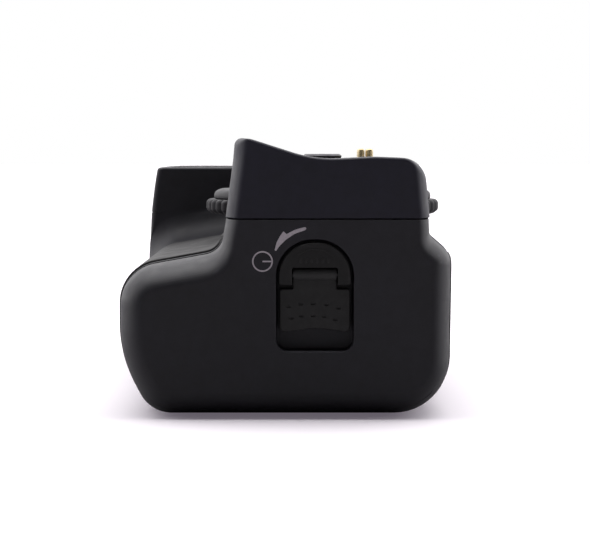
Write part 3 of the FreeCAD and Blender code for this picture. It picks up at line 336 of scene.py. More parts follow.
def moulded(name, colour, roughness, grain=3200, grain_depth=0.16, dust=0.5, edge_highlight=0.5, specular=0.35,
            tint=(0.0, 0.0, 0.0)):
    """Moulded plastic: spark-eroded grain, cloudy colour, a painted highlight on convex edges and a little
    dust.
    """
    material, add, link, place = new_material(name, colour, roughness, Specular_IOR_Level=specular)
    fine = noise(add, place, grain, 3.0, 0.6)
    cloud = noise(add, place, 420.0, 4.0, 0.65)
    broad = noise(add, place, 46.0, 2.0)
    cells = add("TexVoronoi", {"Vector": place, "Scale": 330.0, "Randomness": 1.0})
    level = ramp(add, cloud, 0.3, 0.7, 0.82, 1.18)
    drift = ramp(add, broad, 0.3, 0.7)
    warm = mix(add, drift, shade(colour, 0.96), tuple(c * 1.04 + t for c, t in zip(colour, tint)))
    scaled = add("VectorMath", {0: warm, "Scale": level}, operation="SCALE").outputs[0]
    # Convex edges, found by pointiness, are lightened in the base colour: a painted edge highlight.
    edge = add("NewGeometry").outputs["Pointiness"]
    edge_highlight_mask = ramp(add, edge, 0.52, 0.62, 0.0, edge_highlight)
    edge_lit_colour = mix(add, edge_highlight_mask, scaled, shade(colour, 1.9))
    speck = ramp(add, cells.outputs["Distance"], 0.05, 0.09, 1.0, 0.0)
    rare = add("Math", {0: cells.outputs["Color"], 1: 0.93}, operation="GREATER_THAN").outputs[0]
    dusty = times(add, times(add, speck, rare), dust)
    link(mix(add, dusty, edge_lit_colour, (0.16, 0.155, 0.16)), "Base Color")
    link(ramp(add, cloud, 0.3, 0.7, roughness - 0.06, roughness + 0.07), "Roughness")
    soft = add("Bump", {"Strength": 0.08, "Distance": 0.00025, "Height": cloud,
                        "Normal": relief(add, fine, grain_depth, 0.00006)})
    link(soft.outputs["Normal"], "Normal")
    return material


def leather_rubber(name, colour):
    """Rubber skin with a fine pebbled grain, its creases darkened as painted shade."""
    material, add, link, place = new_material(name, colour, 0.62, Specular_IOR_Level=0.3)
    pebbles = add("TexVoronoi", {"Vector": place, "Scale": 950.0}, feature="SMOOTH_F1")
    creases = add("TexVoronoi", {"Vector": place, "Scale": 950.0}, feature="DISTANCE_TO_EDGE")
    cloud = noise(add, place, 240.0, 3.0)
    # The creases between pebbles are darkened in the base colour: painted shade.
    crease_shade = ramp(add, creases.outputs["Distance"], 0.0, 0.18, 0.55, 1.05)
    level = times(add, crease_shade, ramp(add, cloud, 0.3, 0.7, 0.88, 1.12))
    link(add("VectorMath", {0: colour, "Scale": level}, operation="SCALE").outputs[0], "Base Color")
    link(ramp(add, cloud, 0.3, 0.7, 0.55, 0.7), "Roughness")
    dome = add("Bump", {"Strength": 0.5, "Distance": 0.0002, "Height": pebbles.outputs["Distance"]},
               invert=True)
    link(dome.outputs["Normal"], "Normal")
    return material


def metal(name, colour, roughness, streaks=0.3, metallic=1.0):
    """Turned or plated metal with fine tool marks and tarnish."""
    material, add, link, place = new_material(name, colour, roughness, Metallic=metallic)
    lined = add("VectorMath", {0: place, 1: (420.0, 420.0, 5200.0)}, operation="MULTIPLY").outputs[0]
    marks = noise(add, lined, 1.0, 2.0)
    cloud = noise(add, place, 600.0, 3.0)
    link(mix(add, ramp(add, cloud, 0.35, 0.7), colour, shade(colour, 0.72)), "Base Color")
    link(ramp(add, marks, 0.25, 0.75, max(roughness - 0.08, 0.05), roughness + 0.12),
         "Roughness")
    link(relief(add, marks, streaks, 0.00002), "Normal")
    return material


def circuit(name):
    """Solder mask over copper tracks."""
    material, add, link, place = new_material(name, (0.015, 0.09, 0.045), 0.35)
    tracks = add("TexBrick", {"Vector": place, "Scale": 520.0, "Mortar Size": 0.06, "Brick Width": 1.7,
                              "Row Height": 0.5})
    pads = add("TexVoronoi", {"Vector": place, "Scale": 420.0})
    cloud = noise(add, place, 300.0, 3.0)
    lines = mix(add, tracks.outputs["Fac"], (0.012, 0.085, 0.04), (0.03, 0.16, 0.07))
    dots = ramp(add, pads.outputs["Distance"], 0.12, 0.16, 1.0, 0.0)
    link(mix(add, dots, lines, (0.55, 0.5, 0.4)), "Base Color")
    link(ramp(add, cloud, 0.3, 0.7, 0.28, 0.45), "Roughness")
    link(relief(add, tracks.outputs["Fac"], 0.3, 0.00005), "Normal")
    return material


def battery_sleeve(name):
    """Heat-shrunk grey sleeve with a plain darker band along each cell."""
    material, add, link, place = new_material(name, (0.4, 0.4, 0.42), 0.3, Coat_Weight=0.4,
                                             Coat_Roughness=0.15)
    parts = add("SeparateXYZ", {"Vector": place})
    wave = noise(add, place, 130.0, 4.0)
    repeat = add("Math", {0: parts.outputs["X"], 1: 0.0505}, operation="PINGPONG").outputs[0]
    band = ramp(add, repeat, 0.012, 0.0125)
    tone = mix(add, band, (0.06, 0.065, 0.075), (0.42, 0.42, 0.43))
    link(mix(add, ramp(add, wave, 0.35, 0.65, 0.0, 0.25), tone, (0.3, 0.3, 0.31)), "Base Color")
    link(ramp(add, wave, 0.3, 0.7, 0.22, 0.38), "Roughness")
    link(relief(add, wave, 0.12, 0.0003), "Normal")
    return material


def printed(name):
    """Pad-printed light grey ink, slightly uneven."""
    material, add, link, place = new_material(name, (0.5, 0.45, 0.5), 0.55)
    cloud = noise(add, place, 1600.0, 3.0)
    link(mix(add, ramp(add, cloud, 0.3, 0.7), (0.44, 0.395, 0.44), (0.56, 0.51, 0.56)),
         "Base Color")
    link(ramp(add, cloud, 0.3, 0.7, 0.5, 0.65), "Roughness")
    return material


def red_lens(name):
    """Clear red lens with a frosted inside."""
    material, add, link, place = new_material(name, (0.35, 0.015, 0.01), 0.15, Transmission_Weight=0.25,
                                             Coat_Weight=0.6)
    frost = noise(add, place, 2400.0, 2.0)
    link(mix(add, frost, (0.28, 0.01, 0.008), (0.5, 0.03, 0.02)), "Base Color")
    link(relief(add, frost, 0.2, 0.00005), "Normal")
    return material


SHELL = moulded("shell_black", (0.0195, 0.0187, 0.0235), 0.5, tint=(0.0, 0.0, 0.0012))
CAP = moulded("cap_black", (0.0158, 0.015, 0.025), 0.52, tint=(0.0, 0.0, 0.002))
SKIN = leather_rubber("skin_grain", (0.019, 0.018, 0.0192))
# Keys, the tab and the dials get a stronger painted edge highlight.
KEY = moulded("key_black", (0.0185, 0.018, 0.0188), 0.5, grain_depth=0.1, dust=0.2, edge_highlight=0.7,
             specular=0.25)
TAB = moulded("tab_black", (0.028, 0.0275, 0.0285), 0.5, grain_depth=0.1, dust=0.2, edge_highlight=0.7,
             specular=0.25)
DIAL = moulded("wheel_black", (0.031, 0.0295, 0.034), 0.55, grain_depth=0.1, dust=0.3, edge_highlight=0.8)
INNER = moulded("inner_black", (0.022, 0.022, 0.023), 0.48, grain_depth=0.2, dust=0.2)
PAD = moulded("pad_rubber", (0.012, 0.012, 0.0125), 0.68, grain=1500, grain_depth=0.3, specular=0.25)
CHIP = moulded("chip_epoxy", (0.02, 0.02, 0.02), 0.4, grain_depth=0.2, dust=0.0)
BLACK_STEEL = metal("black_oxide", (0.085, 0.083, 0.09), 0.4, metallic=0.85)
BRIGHT_STEEL = metal("nickel", (0.62, 0.61, 0.58), 0.25)
GOLD = metal("gold_plate", (0.96, 0.78, 0.44), 0.3, streaks=0.1, metallic=0.45)
BRASS = metal("turned_brass", (0.72, 0.52, 0.26), 0.3, streaks=0.5)
BOARD = circuit("solder_mask")
BATTERY = battery_sleeve("battery_wrap")
INK = printed("grey_ink")
LENS = red_lens("red_lens")

NODE_LOOKS = {
    SHELL: ["lower_shell", "end_cover", "tower_cap", "control_panel"],
    CAP: ["upper_shell"],
    SKIN: ["front_grip_rubber", "rear_grip_rubber"],
    PAD: ["tower_pad", "platform_pad"],
    KEY: ["latch_key", "latch_tab", "exposure_lock_button", "focus_button", "test_button", "power_switch",
          "channel_dial", "release_lock_ring", "release_button"],
    DIAL: ["lock_wheel_rim", "lock_wheel_hub", "lock_wheel_cap", "front_dial", "rear_dial"],
    INNER: ["contact_block", "battery_sleeve", "mouth_frame", "magazine_frame", "release_collar",
            "front_dial_bracket", "rear_dial_bracket", "latch_cam", "release_switch", "board_posts"],
    CHIP: ["board_chips"],
    BLACK_STEEL: ["base_plate", "base_screws", "camera_screw", "screw_clip", "latch_pin"],
    BRIGHT_STEEL: ["guide_pin", "cam_screw", "front_dial_pin", "rear_dial_pin", "magazine_springs",
                   "magazine_contacts", "battery_terminals", "radio_shield", "radio_posts"],
    GOLD: ["contact_pins"],
    BRASS: ["tripod_socket", "wheel_bush"],
    BOARD: ["main_board", "radio_board", "switch_board", "antenna"],
    BATTERY: ["battery_cells"],
    LENS: ["status_light"],
}
for look, names in NODE_LOOKS.items():
    for name in names:
        NODES[name].data.materials.clear()
        NODES[name].data.materials.append(look)


# ---------------------------------------------------------------- camera, floor and light

def make_camera():
    data = bpy.data.cameras.new("camera")
    data.sensor_width = 36.0
    data.lens = 118.0
    data.clip_start, data.clip_end = 0.01, 50.0
    camera = bpy.data.objects.new("camera", data)
    camera.location = (0.474, 0.00202, 0.0564)
    pitch = math.radians(3.55)
    aim = Vector((-math.cos(pitch), 0, -math.sin(pitch)))
    camera.rotation_euler = aim.to_track_quat("-Z", "Y").to_euler()
    COLLECTION.objects.link(camera)
    SCENE.camera = camera


def make_floor():
    """Flat pale paper that looks bright to the camera but throws little light up at the object."""
    bm = bmesh.new()
    parts = 48
    middle = bm.verts.new((0, 0, 0))
    rings = []
    for radius in (0.3, 0.9, 2.0, 4.0, 6.0):
        angles = [2 * math.pi * k / parts for k in range(parts)]
        rings.append([bm.verts.new((radius * math.cos(t), radius * math.sin(t), 0)) for t in angles])
    for k in range(parts):
        m = (k + 1) % parts
        bm.faces.new((middle, rings[0][k], rings[0][m]))
        for a, b in zip(rings, rings[1:]):
            bm.faces.new((a[k], b[k], b[m], a[m]))
    mesh = bpy.data.meshes.new("floor")
    bm.to_mesh(mesh)
    bm.free()
    floor = bpy.data.objects.new("floor", mesh)
    floor.location = (0, 0, -0.00005)
    COLLECTION.objects.link(floor)
    material, add, link, place = new_material("floor_paper", (0.9, 0.88, 0.9), 0.9,
                                             Specular_IOR_Level=0.1, Emission_Strength=1.0)
    cloud = noise(add, place, 900.0, 3.0)
    paper = mix(add, cloud, (0.9, 0.87, 0.895), (0.93, 0.9, 0.925))
    seen = add("LightPath").outputs["Is Camera Ray"]
    link(mix(add, seen, (0.36, 0.35, 0.36), paper), "Base Color")
    link(mix(add, seen, (0.0, 0.0, 0.0), (0.125, 0.11, 0.135)), "Emission Color")
    mesh.materials.append(material)


def make_overhead():
    """Even light from above that reaches the whole floor."""
    data = bpy.data.lights.new("overhead", "SUN")
    data.energy = 1.6
    data.angle = math.radians(70)
    lamp = bpy.data.objects.new("overhead", data)
    lamp.rotation_euler = Vector((-0.25, 0.0, 1.0)).to_track_quat("Z", "Y").to_euler()
    COLLECTION.objects.link(lamp)


def make_world():
    """White surroundings behind, above and beside the object, dimmer towards its latch end."""
    world = bpy.data.worlds.new("surroundings")
    world.use_nodes = True
    tree = world.node_tree
    tree.nodes.clear()
    add, link = tree.nodes.new, tree.links.new
    place, parts, level = add("ShaderNodeTexCoord"), add("ShaderNodeSeparateXYZ"), add("ShaderNodeMapRange")
    lit, seen = add("ShaderNodeBackground"), add("ShaderNodeBackground")
    path, pick, out = add("ShaderNodeLightPath"), add("ShaderNodeMixShader"), add("ShaderNodeOutputWorld")
    level.interpolation_type = "SMOOTHSTEP"
    for socket, value in (("From Min", -0.05), ("From Max", 0.47), ("To Min", 1.7), ("To Max", 0.05)):
        level.inputs[socket].default_value = value
    lit.inputs["Color"].default_value = (1.0, 0.985, 1.0, 1)
    seen.inputs["Color"].default_value = (1, 1, 1, 1)
    link(place.outputs["Generated"], parts.inputs[0])
    link(parts.outputs["X"], level.inputs["Value"])
    link(level.outputs[0], lit.inputs["Strength"])
    for index, socket in enumerate((path.outputs["Is Camera Ray"], lit.outputs[0], seen.outputs[0])):
        link(socket, pick.inputs[index])
    link(pick.outputs[0], out.inputs[0])
    SCENE.world = world


make_camera()
make_floor()
make_world()
make_overhead()
SCENE.view_settings.view_transform = "Standard"
SCENE.view_settings.look = "None"

# ---------------------------------------------------------------- shells

FACE = 75.0
SHELL_END, COVER_BACK, SKIN_END = 62.0, 62.4, 60.2
FRONT, BACK = -35.2, 35.2
NECK_FRONT, NECK_BACK = -12.6, 30.4
SEAM, COVER_TOP = 41.9, 41.62
PLATFORM = 50.2
SECTION = [(-28.8, 0), (FRONT, 12), (FRONT, 30.75), (-13.9, 34.6), (NECK_FRONT, SEAM), (NECK_BACK, SEAM),
           (30.55, 38.2), (BACK, 34.2), (34.75, 0)]
SECTION_ROUNDS = [7.9, 27.0, 9.0, 4.5, 0.15, 0.15, 2.0, 5.3, 12.0]
INNER_ROUNDS = [5.5, 24.0, 6.6, 0.5, 1.0, 1.0, 0.5, 2.9, 8.8]
KEY_Y, KEY_Z = 6.15, 29.5
WHEEL = (14.0, 8.5)
SLOT_RADIUS = 28.1
GUIDE = (WHEEL[0] + 24.0, WHEEL[1])
RELEASE = (-14.0, 21.0)
BUTTON_X, BUTTON_Z = (-37.0, -47.0), 26.0
PLATE_SCREWS = [(x, y) for x in (-29.0, 51.0) for y in (-15.0, 15.0)]


OVERSHOOT = 1.0


def rim_steps(deep, rim):
    """Depths and widenings of a cutter that rounds a recess's rim and runs on past the face."""
    steps = []
    for k in range(6):
        t = k / 5 * math.pi / 2
        steps.append((deep - rim + rim * math.sin(t) + (0.002 if k == 5 else 0), rim * (1 - math.cos(t))))
    return [*steps, (deep + OVERSHOOT, rim)]


def pocket(points, radii, floor, face, rim, fillet=0.3, along="x", direction=1, steps=8):
    """A cutter for a recess: filleted floor, straight walls and a rounded rim at the face."""
    spots = []
    for k in range(5):
        t = k / 4 * math.pi / 2
        spots.append((fillet * (1 - math.cos(t)), fillet * (1 - math.sin(t))))
    spots += [(h, -wider) for h, wider in rim_steps(abs(face - floor), rim)]
    rings = []
    for h, inset in spots:
        outline = rounded(points, radii, inset, steps, 2)
        rings.append([TURN[along](floor + direction * h, *p) for p in outline])
    return solid(rings)


def round_pocket(a, b, radius, floor, face, rim, along="x", direction=1, steps=64, fillet=0.2):
    """The same cutter for a round recess."""
    spots = [(radius - fillet, 0.0), (radius - fillet * 0.3, fillet * 0.3), (radius, fillet)]
    spots += [(radius + wider, h) for h, wider in rim_steps(abs(face - floor), rim)]
    centre = TURN[along](0, a, b)
    return solid(turned_rings([(r, floor + direction * h) for r, h in spots], centre, along, steps))


def rod(a, b, radius, low, high, along="z", steps=48):
    return solid(turned_rings([(radius, low), (radius, high)], TURN[along](0, a, b), along, steps))


def make_cover():
    """End cover: pillow-edged shell with the latch recess in its face."""
    gap = 0.22
    outline = list(SECTION)
    outline[4], outline[5] = (NECK_FRONT, COVER_TOP + gap), (NECK_BACK, COVER_TOP + gap)
    soft = [(11.0, 5.6), (11.0, 5.4), (11.0, 5.2), (9.0, 3.2), 0.1, (9.0, 2.8), (10.0, 4.2), (11.0, 4.4),
            (11.0, 5.8)]
    cover = bar(outline, SECTION_ROUNDS, COVER_BACK, FACE, 0.25, soft, steps=12, cuts=5, arc=16, inset=gap)
    inside = solid([[(x, *p) for p in rounded(outline, INNER_ROUNDS, 3.2)] for x in (60.0, 72.6)])
    boss = box((66.4, KEY_Y - 10.4, 11.9), (80, KEY_Y + 10.4, 60))
    combine(inside, [boss])
    wide, top = 8.05, KEY_Z + 8.05
    recess = pocket(corners((KEY_Y - wide, 14.3), (KEY_Y + wide, top)), [2.4, 2.4, 8.02, 8.02], 71.2, FACE,
                    0.3, 0.5, steps=16)
    shaft = rod(KEY_Y, KEY_Z, 3.05, 60, 72, "x")
    combine(cover, [inside, recess, shaft])
    finish(cover, "end_cover_shell", "magazine", SHELL, ["end_cover"])


CREST = [(NECK_FRONT, SEAM), (-11.0, 54.0), (-10.6, 58.65), (-7.2, 58.3), (6.2, 54.0), (18.5, 54.6),
         (29.2, 54.2), (NECK_BACK, SEAM)]
NEAR, SPLIT, TOWER_TOP = -27.0, 39.8, 51.4


def make_upper():
    """Neck, platform and the end cap with its wavy crest."""
    side, far_side, crisp = (9.0, 3.2), (9.0, 2.8), 0.6
    cap = bar(CREST, [0.15, 20, 1.6, 8, 28, 30, 5.4, 0.15], 58.0, FACE,
              [0.3, 0.3, 1.2, 1.2, 1.2, 1.2, 0.3, 0.1],
              [side, side, crisp, crisp, crisp, crisp, far_side, 0.12], steps=12, cuts=6, arc=12)
    neck = bar([(NECK_FRONT, SEAM), (-11.5, PLATFORM), (29.6, PLATFORM), (NECK_BACK, SEAM)],
               [0.15, 0.8, 0.8, 0.15], NEAR, 58.5, 0.1, 0.1, steps=8, cuts=4)
    combine(cap, [neck], "UNION")
    x, y = WHEEL
    cutters = [
        rod(x, y, SLOT_RADIUS, 40.0, 47.2, steps=160),
        box((-24.6, -9.2, 40), (-15.6, 27.2, 47.4)),
        box((43.6, -9.2, 40), (58.0, 27.2, 47.4)),
        box((57.0, -9.0, 43.0), (72.6, 27.0, 51.5)),
        round_pocket(x, y, 5.2625, 46.0, PLATFORM, 0.3, "z"),
        pocket(corners((8.5, 15.8), (19.5, 21.4)), [0.6] * 4, 46.2, PLATFORM, 0.2, 0.1, "z"),
        round_pocket(*GUIDE, 2.6, 48.2, PLATFORM, 0.15, "z"),
    ]
    combine(cap, cutters)
    finish(cap, "upper_shell_form", "housing", CAP, ["upper_shell"])


FOOT_ROUND = 9.0
TOWER_FRONT, LEAN_FROM, LEAN = -35.8, 27.0, 0.0037


def tower_front(height):
    """The tower's lens-side face, which leans in towards the top."""
    return TOWER_FRONT + LEAN * max(height - LEAN_FROM, 0.0) ** 2


def lower_outline(x):
    """Corners of the lower body at x, with one spare corner in its front that the tower's face needs."""
    into = min(max((NEAR + FOOT_ROUND - x) / FOOT_ROUND, 0.0), 1.0)
    rise = FOOT_ROUND - math.sqrt(max(FOOT_ROUND ** 2 - (into * FOOT_ROUND) ** 2, 0.0))
    share = into * into * (3 - 2 * into)
    front = FRONT + share * (TOWER_FRONT - FRONT)
    high = SECTION[2][1] + rise
    lean = FRONT + share * (tower_front(high) - FRONT)
    return [SECTION[0], (front, 12), (front, 21 + 0.67 * rise), (lean, high),
            (-13.9, min(34.6 + rise, 41.0)), *SECTION[4:]]


def tower_outline(corner):
    """The tower's outline, its near front edge pulled in by the corner's rounding."""
    front = tower_front(SPLIT)
    return [SECTION[0], (TOWER_FRONT, 12), (TOWER_FRONT, LEAN_FROM), (front + corner, SPLIT), (-13.9, SPLIT),
            (NECK_FRONT, SPLIT), (NECK_BACK, SPLIT), *SECTION[6:]]


LOWER_ROUNDS = [7.9, 27.0, 9.0, 9.0, 4.5, 0.15, 0.15, 2.0, 5.3, 12.0]
TOWER_ROUNDS = [7.9, 27.0, 9.0, 0.3, 0.3, 0.3, 0.3, 2.0, 5.3, 12.0]


def make_lower():
    """Lower body: one loft from the cover's mouth to the far end, hollow, with all its openings."""
    rings = []

    def station(x, points, radii, insets=0.0):
        rings.append([(x, *p) for p in rounded(points, radii, insets, 10, 4)])

    for depth in (0.0, 0.08, 0.25):
        inset = edge_inset(depth, 0.25)
        station(SHELL_END - depth, lower_outline(SHELL_END), LOWER_ROUNDS, [inset] * 10)
    for x in (50, 36, 22, 8, -6, NEAR + FOOT_ROUND):
        station(x, lower_outline(x), LOWER_ROUNDS)
    for k in range(1, 15):
        x = NEAR + FOOT_ROUND * (1 - math.sin(k / 14 * math.pi / 2))
        station(x, lower_outline(x), LOWER_ROUNDS)
    edge = 1.5
    for k in range(7):
        t = k / 6 * math.pi / 2
        station(NEAR - edge * (1 - math.cos(t)) - 0.002, tower_outline(edge * (1 - math.sin(t))),
                TOWER_ROUNDS)
    for x in (-40, -54):
        station(x, tower_outline(0), TOWER_ROUNDS)
    ends = [9.0, 9.0, 9.0, 0.12, 0.12, 0.12, 7.0, 7.0, 7.0, 6.0]
    for k in range(13):
        depth = 9.0 * (1 - math.sin(k / 12 * math.pi / 2))
        station(-FACE + depth, tower_outline(0), TOWER_ROUNDS, [edge_inset(depth, r) for r in ends])
    body = solid(rings)
    far, wall, dial_reach = -69.5, 2.4, 31.2
    hollow = solid([[(x, *p) for p in rounded(SECTION, INNER_ROUNDS, wall)] for x in (far, 64.0)])
    for x, y in PLATE_SCREWS:
        combine(hollow, [rod(x, y, 2.6, -1.0, 5.7)])
    x, y = WHEEL
    cutters = [
        hollow,
        box((far, tower_front(SPLIT) + wall, 26.0), (NEAR - wall, 28.0, 45.0), 0.5),
        rod(x, y, SLOT_RADIUS, 40.4, 45.0, steps=160),
        rod(x, y, 6.5, 37.4, 42.0),
        round_pocket(*RELEASE, 10.4, -72.6, -FACE, 0.4, "x", direction=-1, steps=96),
        rod(*RELEASE, 5.9, -77, -68, "x"),
        pocket(corners((4, 13), (48, 31)), [2.2] * 4, 34.4, BACK, 0.15, 0.05, "y"),
        box((5.5, 31.0, 14.5), (46.5, 38.0, 29.5)),
        pocket(corners((-34, -20), (56, 20)), [3.2] * 4, 1.5, 0.0, 0.2, 0.05, "z", direction=-1),
        rod(x, y, 5.4, -1.0, 4.0),
    ]
    for side, face in ((-1, TOWER_FRONT), (1, BACK)):
        cutters.append(pocket(corners((-64.3, 14.4), (-57.7, 29.6)), [1.2] * 4, side * dial_reach, face,
                              0.5, 0.1, "y", direction=side))
    cutters += [round_pocket(x, BUTTON_Z, 3.4, 31.0, BACK, 0.3, "y") for x in BUTTON_X]
    cutters += [rod(x, y, 1.0, -1.0, 7.0, steps=24) for x, y in PLATE_SCREWS]
    combine(body, cutters)
    finish(body, "lower_shell_body", "housing", SHELL, ["lower_shell"])


def tower_plan(margin):
    """The outline of the tower's top, a margin inside its edges."""
    return corners((-FACE + margin, tower_front(TOWER_TOP) + margin), (NEAR - margin, NECK_BACK - margin))


def make_tower_cap():
    """Moulded top of the tower with a softly rounded crown."""
    rings = []
    rounds = [9.0, 1.5, 0.6, 7.0]
    heights = [(SPLIT, 0.2), (SPLIT + 0.07, 0.06), (SPLIT + 0.2, 0.0), (42.0, 0.0), (44.5, 0.0),
               (47.0, 0.0), (49.0, 0.0)]
    crisp = 0.8
    for k in range(9):
        t = k / 8 * math.pi / 2
        heights.append((TOWER_TOP - crisp + crisp * math.sin(t), crisp * (1 - math.cos(t))))
    for z, inset in heights:
        back = NECK_BACK - 0.6 * (z - SPLIT) / (TOWER_TOP - SPLIT)
        outline = rounded(corners((-FACE, tower_front(z)), (NEAR, back)), rounds, inset, 12, 8)
        rings.append([(*p, z) for p in outline])
    crown = solid(rings)
    room = box((-72.0, -31.5, SPLIT - 1), (-29.6, 27.6, TOWER_TOP - 2.6), 0.8)
    bed = pocket(tower_plan(3.1), [6.1, 2.1, 2.1, 5.1], TOWER_TOP - 0.7, TOWER_TOP, 0.15, 0.05, "z")
    combine(crown, [room, bed])
    finish(crown, "tower_crown", "housing", SHELL, ["tower_cap"])


def sheet_pad(name, points, radii, low, high, holes, node):
    """Thin rubber sheet with a rounded rim."""
    pad = bar(points, radii, low, high, 0.02, 0.3, "z", steps=8, cuts=10, arc=5)
    if holes:
        combine(pad, holes)
    finish(pad, name, "housing", PAD, [node])


def make_pads():
    """Rubber pads on the platform, with holes for what stands through it, and on the tower."""
    holes = [rod(*WHEEL, 7.0, 49.0, 53.0, steps=64), box((7.7, 15.0, 49), (20.3, 22.2, 53), 0.5),
             rod(*GUIDE, 3.0, 49.0, 53.0)]
    sheet_pad("platform_sheet", corners((-25.5, -8.6), (56.5, 26.4)), [2.5] * 4, PLATFORM, PLATFORM + 0.8,
              holes, "platform_pad")
    sheet_pad("tower_sheet", tower_plan(3.2), [6, 2, 2, 5], TOWER_TOP - 0.7, TOWER_TOP + 0.1, [], "tower_pad")


SKIN_THICK, SKIN_ROLL, SKIN_CORNER, SKIN_STEP = 0.45, 0.3, 3.0, 0.8
SUNK = -0.2


def skin_height(inside):
    """How far a skin stands off the body at a distance inside its rim."""
    if inside >= SKIN_ROLL:
        return SKIN_THICK
    if inside <= 0:
        return 2.0 * max(inside, SUNK)
    return SKIN_THICK * math.sqrt(1 - (1 - inside / SKIN_ROLL) ** 2)


def skin_patch(name, node, low_x, wanted, hole=None):
    """A bonded rubber skin: a raised sheet that follows the body, sinking into it along its rim."""
    width = SKIN_END - low_x
    path = [p for p in rounded(SECTION, SECTION_ROUNDS, 0.0, 16, 24) if wanted(*p)]
    spots = [Vector(p) for p in path]
    length = [0.0]
    for a, b in zip(spots, spots[1:]):
        length.append(length[-1] + (b - a).length)
    total = length[-1]

    def graded(reach):
        count = int(reach / SKIN_STEP)
        fine = [0.0, 0.06, 0.14, 0.26, 0.42, 0.7, 1.1]
        middle = [fine[-1] + (reach - 2 * fine[-1]) * k / count for k in range(1, count)]
        return fine + middle + [reach - f for f in reversed(fine)]

    def at(s):
        for i in range(len(length) - 1):
            if s <= length[i + 1] or i == len(length) - 2:
                share = (s - length[i]) / max(length[i + 1] - length[i], 1e-9)
                spot = spots[i].lerp(spots[i + 1], share)
                before = (spots[i + 1] - spots[i]).normalized()
                last = len(spots) - 1
                after = (spots[min(i + 2, last)] - spots[min(i + 1, last - 1)]).normalized()
                run = before.lerp(after, share).normalized()
                return spot, Vector((-run.y, run.x))

    rows = [(s, *at(s)) for s in graded(total)]
    columns = graded(width)

    def height(x, s, spot):
        a, b = min(x, width - x), min(s, total - s)
        inside = min(a, b)
        if a < SKIN_CORNER and b < SKIN_CORNER:
            inside = SKIN_CORNER - math.hypot(SKIN_CORNER - a, SKIN_CORNER - b)
        if hole:
            (x0, z0), (x1, z1) = hole
            px, pz = x + low_x, spot.y
            inside = min(inside, max(x0 - px, px - x1, z0 - pz, pz - z1))
        return skin_height(inside)

    bm = bmesh.new()
    outer, inner = [], []
    for x in columns:
        outer.append([bm.verts.new((x + low_x, *(spot + out * height(x, s, spot)))) for s, spot, out in rows])
        inner.append([bm.verts.new((x + low_x, *(spot - out * 0.5))) for s, spot, out in rows])
    n, m = len(columns), len(rows)
    for i in range(n - 1):
        for j in range(m - 1):
            bm.faces.new((outer[i][j], outer[i + 1][j], outer[i + 1][j + 1], outer[i][j + 1]))
            bm.faces.new((inner[i][j], inner[i][j + 1], inner[i + 1][j + 1], inner[i + 1][j]))
    for i in range(n - 1):
        for j in (0, m - 1):
            bm.faces.new((outer[i][j], outer[i + 1][j], inner[i + 1][j], inner[i][j]))
    for j in range(m - 1):
        for i in (0, n - 1):
            bm.faces.new((outer[i][j], outer[i][j + 1], inner[i][j + 1], inner[i][j]))
    mesh = bpy.data.meshes.new("solid")
    bm.to_mesh(mesh)
    bm.free()
    obj = bpy.data.objects.new("solid", mesh)
    COLLECTION.objects.link(obj)
    finish(obj, name, "housing", SKIN, [node], sharp=60, weld=1e-5)


make_cover()
make_upper()
make_lower()
make_tower_cap()
make_pads()
skin_patch("front_skin", "front_grip_rubber", -16.0, lambda y, z: y < -12.95 and 1.2 < z < 37.9)
skin_patch("rear_skin", "rear_grip_rubber", -21.0, lambda y, z: y > 32.2 and 4 < z < 34,
           hole=((3.5, 12.5), (48.5, 31.5)))

# ---------------------------------------------------------------- turned pieces

def eased(profile, ease, loop):
    """A profile with its corners softened by short curves."""
    steps = 4
    spots = [Vector(p) for p in profile]
    if loop:
        spots = [spots[-1], *spots, spots[0]]
    out = [] if loop else [tuple(spots[0])]
    for a, b, c in zip(spots, spots[1:], spots[2:]):
        reach = min(ease, 0.45 * (a - b).length, 0.45 * (c - b).length)
        start, end = b + (a - b).normalized() * reach, b + (c - b).normalized() * reach
        for k in range(steps + 1):
            t = k / steps
            out.append(tuple(start * (1 - t) ** 2 + b * (2 * t * (1 - t)) + end * t * t))
    return out if loop else [*out, tuple(spots[-1])]


def lathe(profile, centre, along="z", steps=64, shape=None, loop=False, ease=0.15):
    """A turned solid with softened edges. A loop profile is one with a bore."""
    return solid(turned_rings(eased(profile, ease, loop), centre, along, steps, shape), loop)


def knurl(count, depth, over):
    """Rounded ridges on the part of a rim that lies outside a radius."""
    def shape(angle, radius, height):
        share = min(max((radius - over) / depth, 0.0), 1.0)
        return radius - depth * share * (1 - abs(math.cos(count / 2 * angle)))
    return shape


def thread(pitch, depth, low, high):
    """A right-hand thread between two heights, fading out at both ends."""
    def shape(angle, radius, height):
        share = min(max((height - low) / 0.5, 0.0), 1.0) * min(max((high - height) / 0.5, 0.0), 1.0)
        phase = (height / pitch - angle / (2 * math.pi)) % 1
        return radius - depth * share * abs(2 * phase - 1)
    return shape


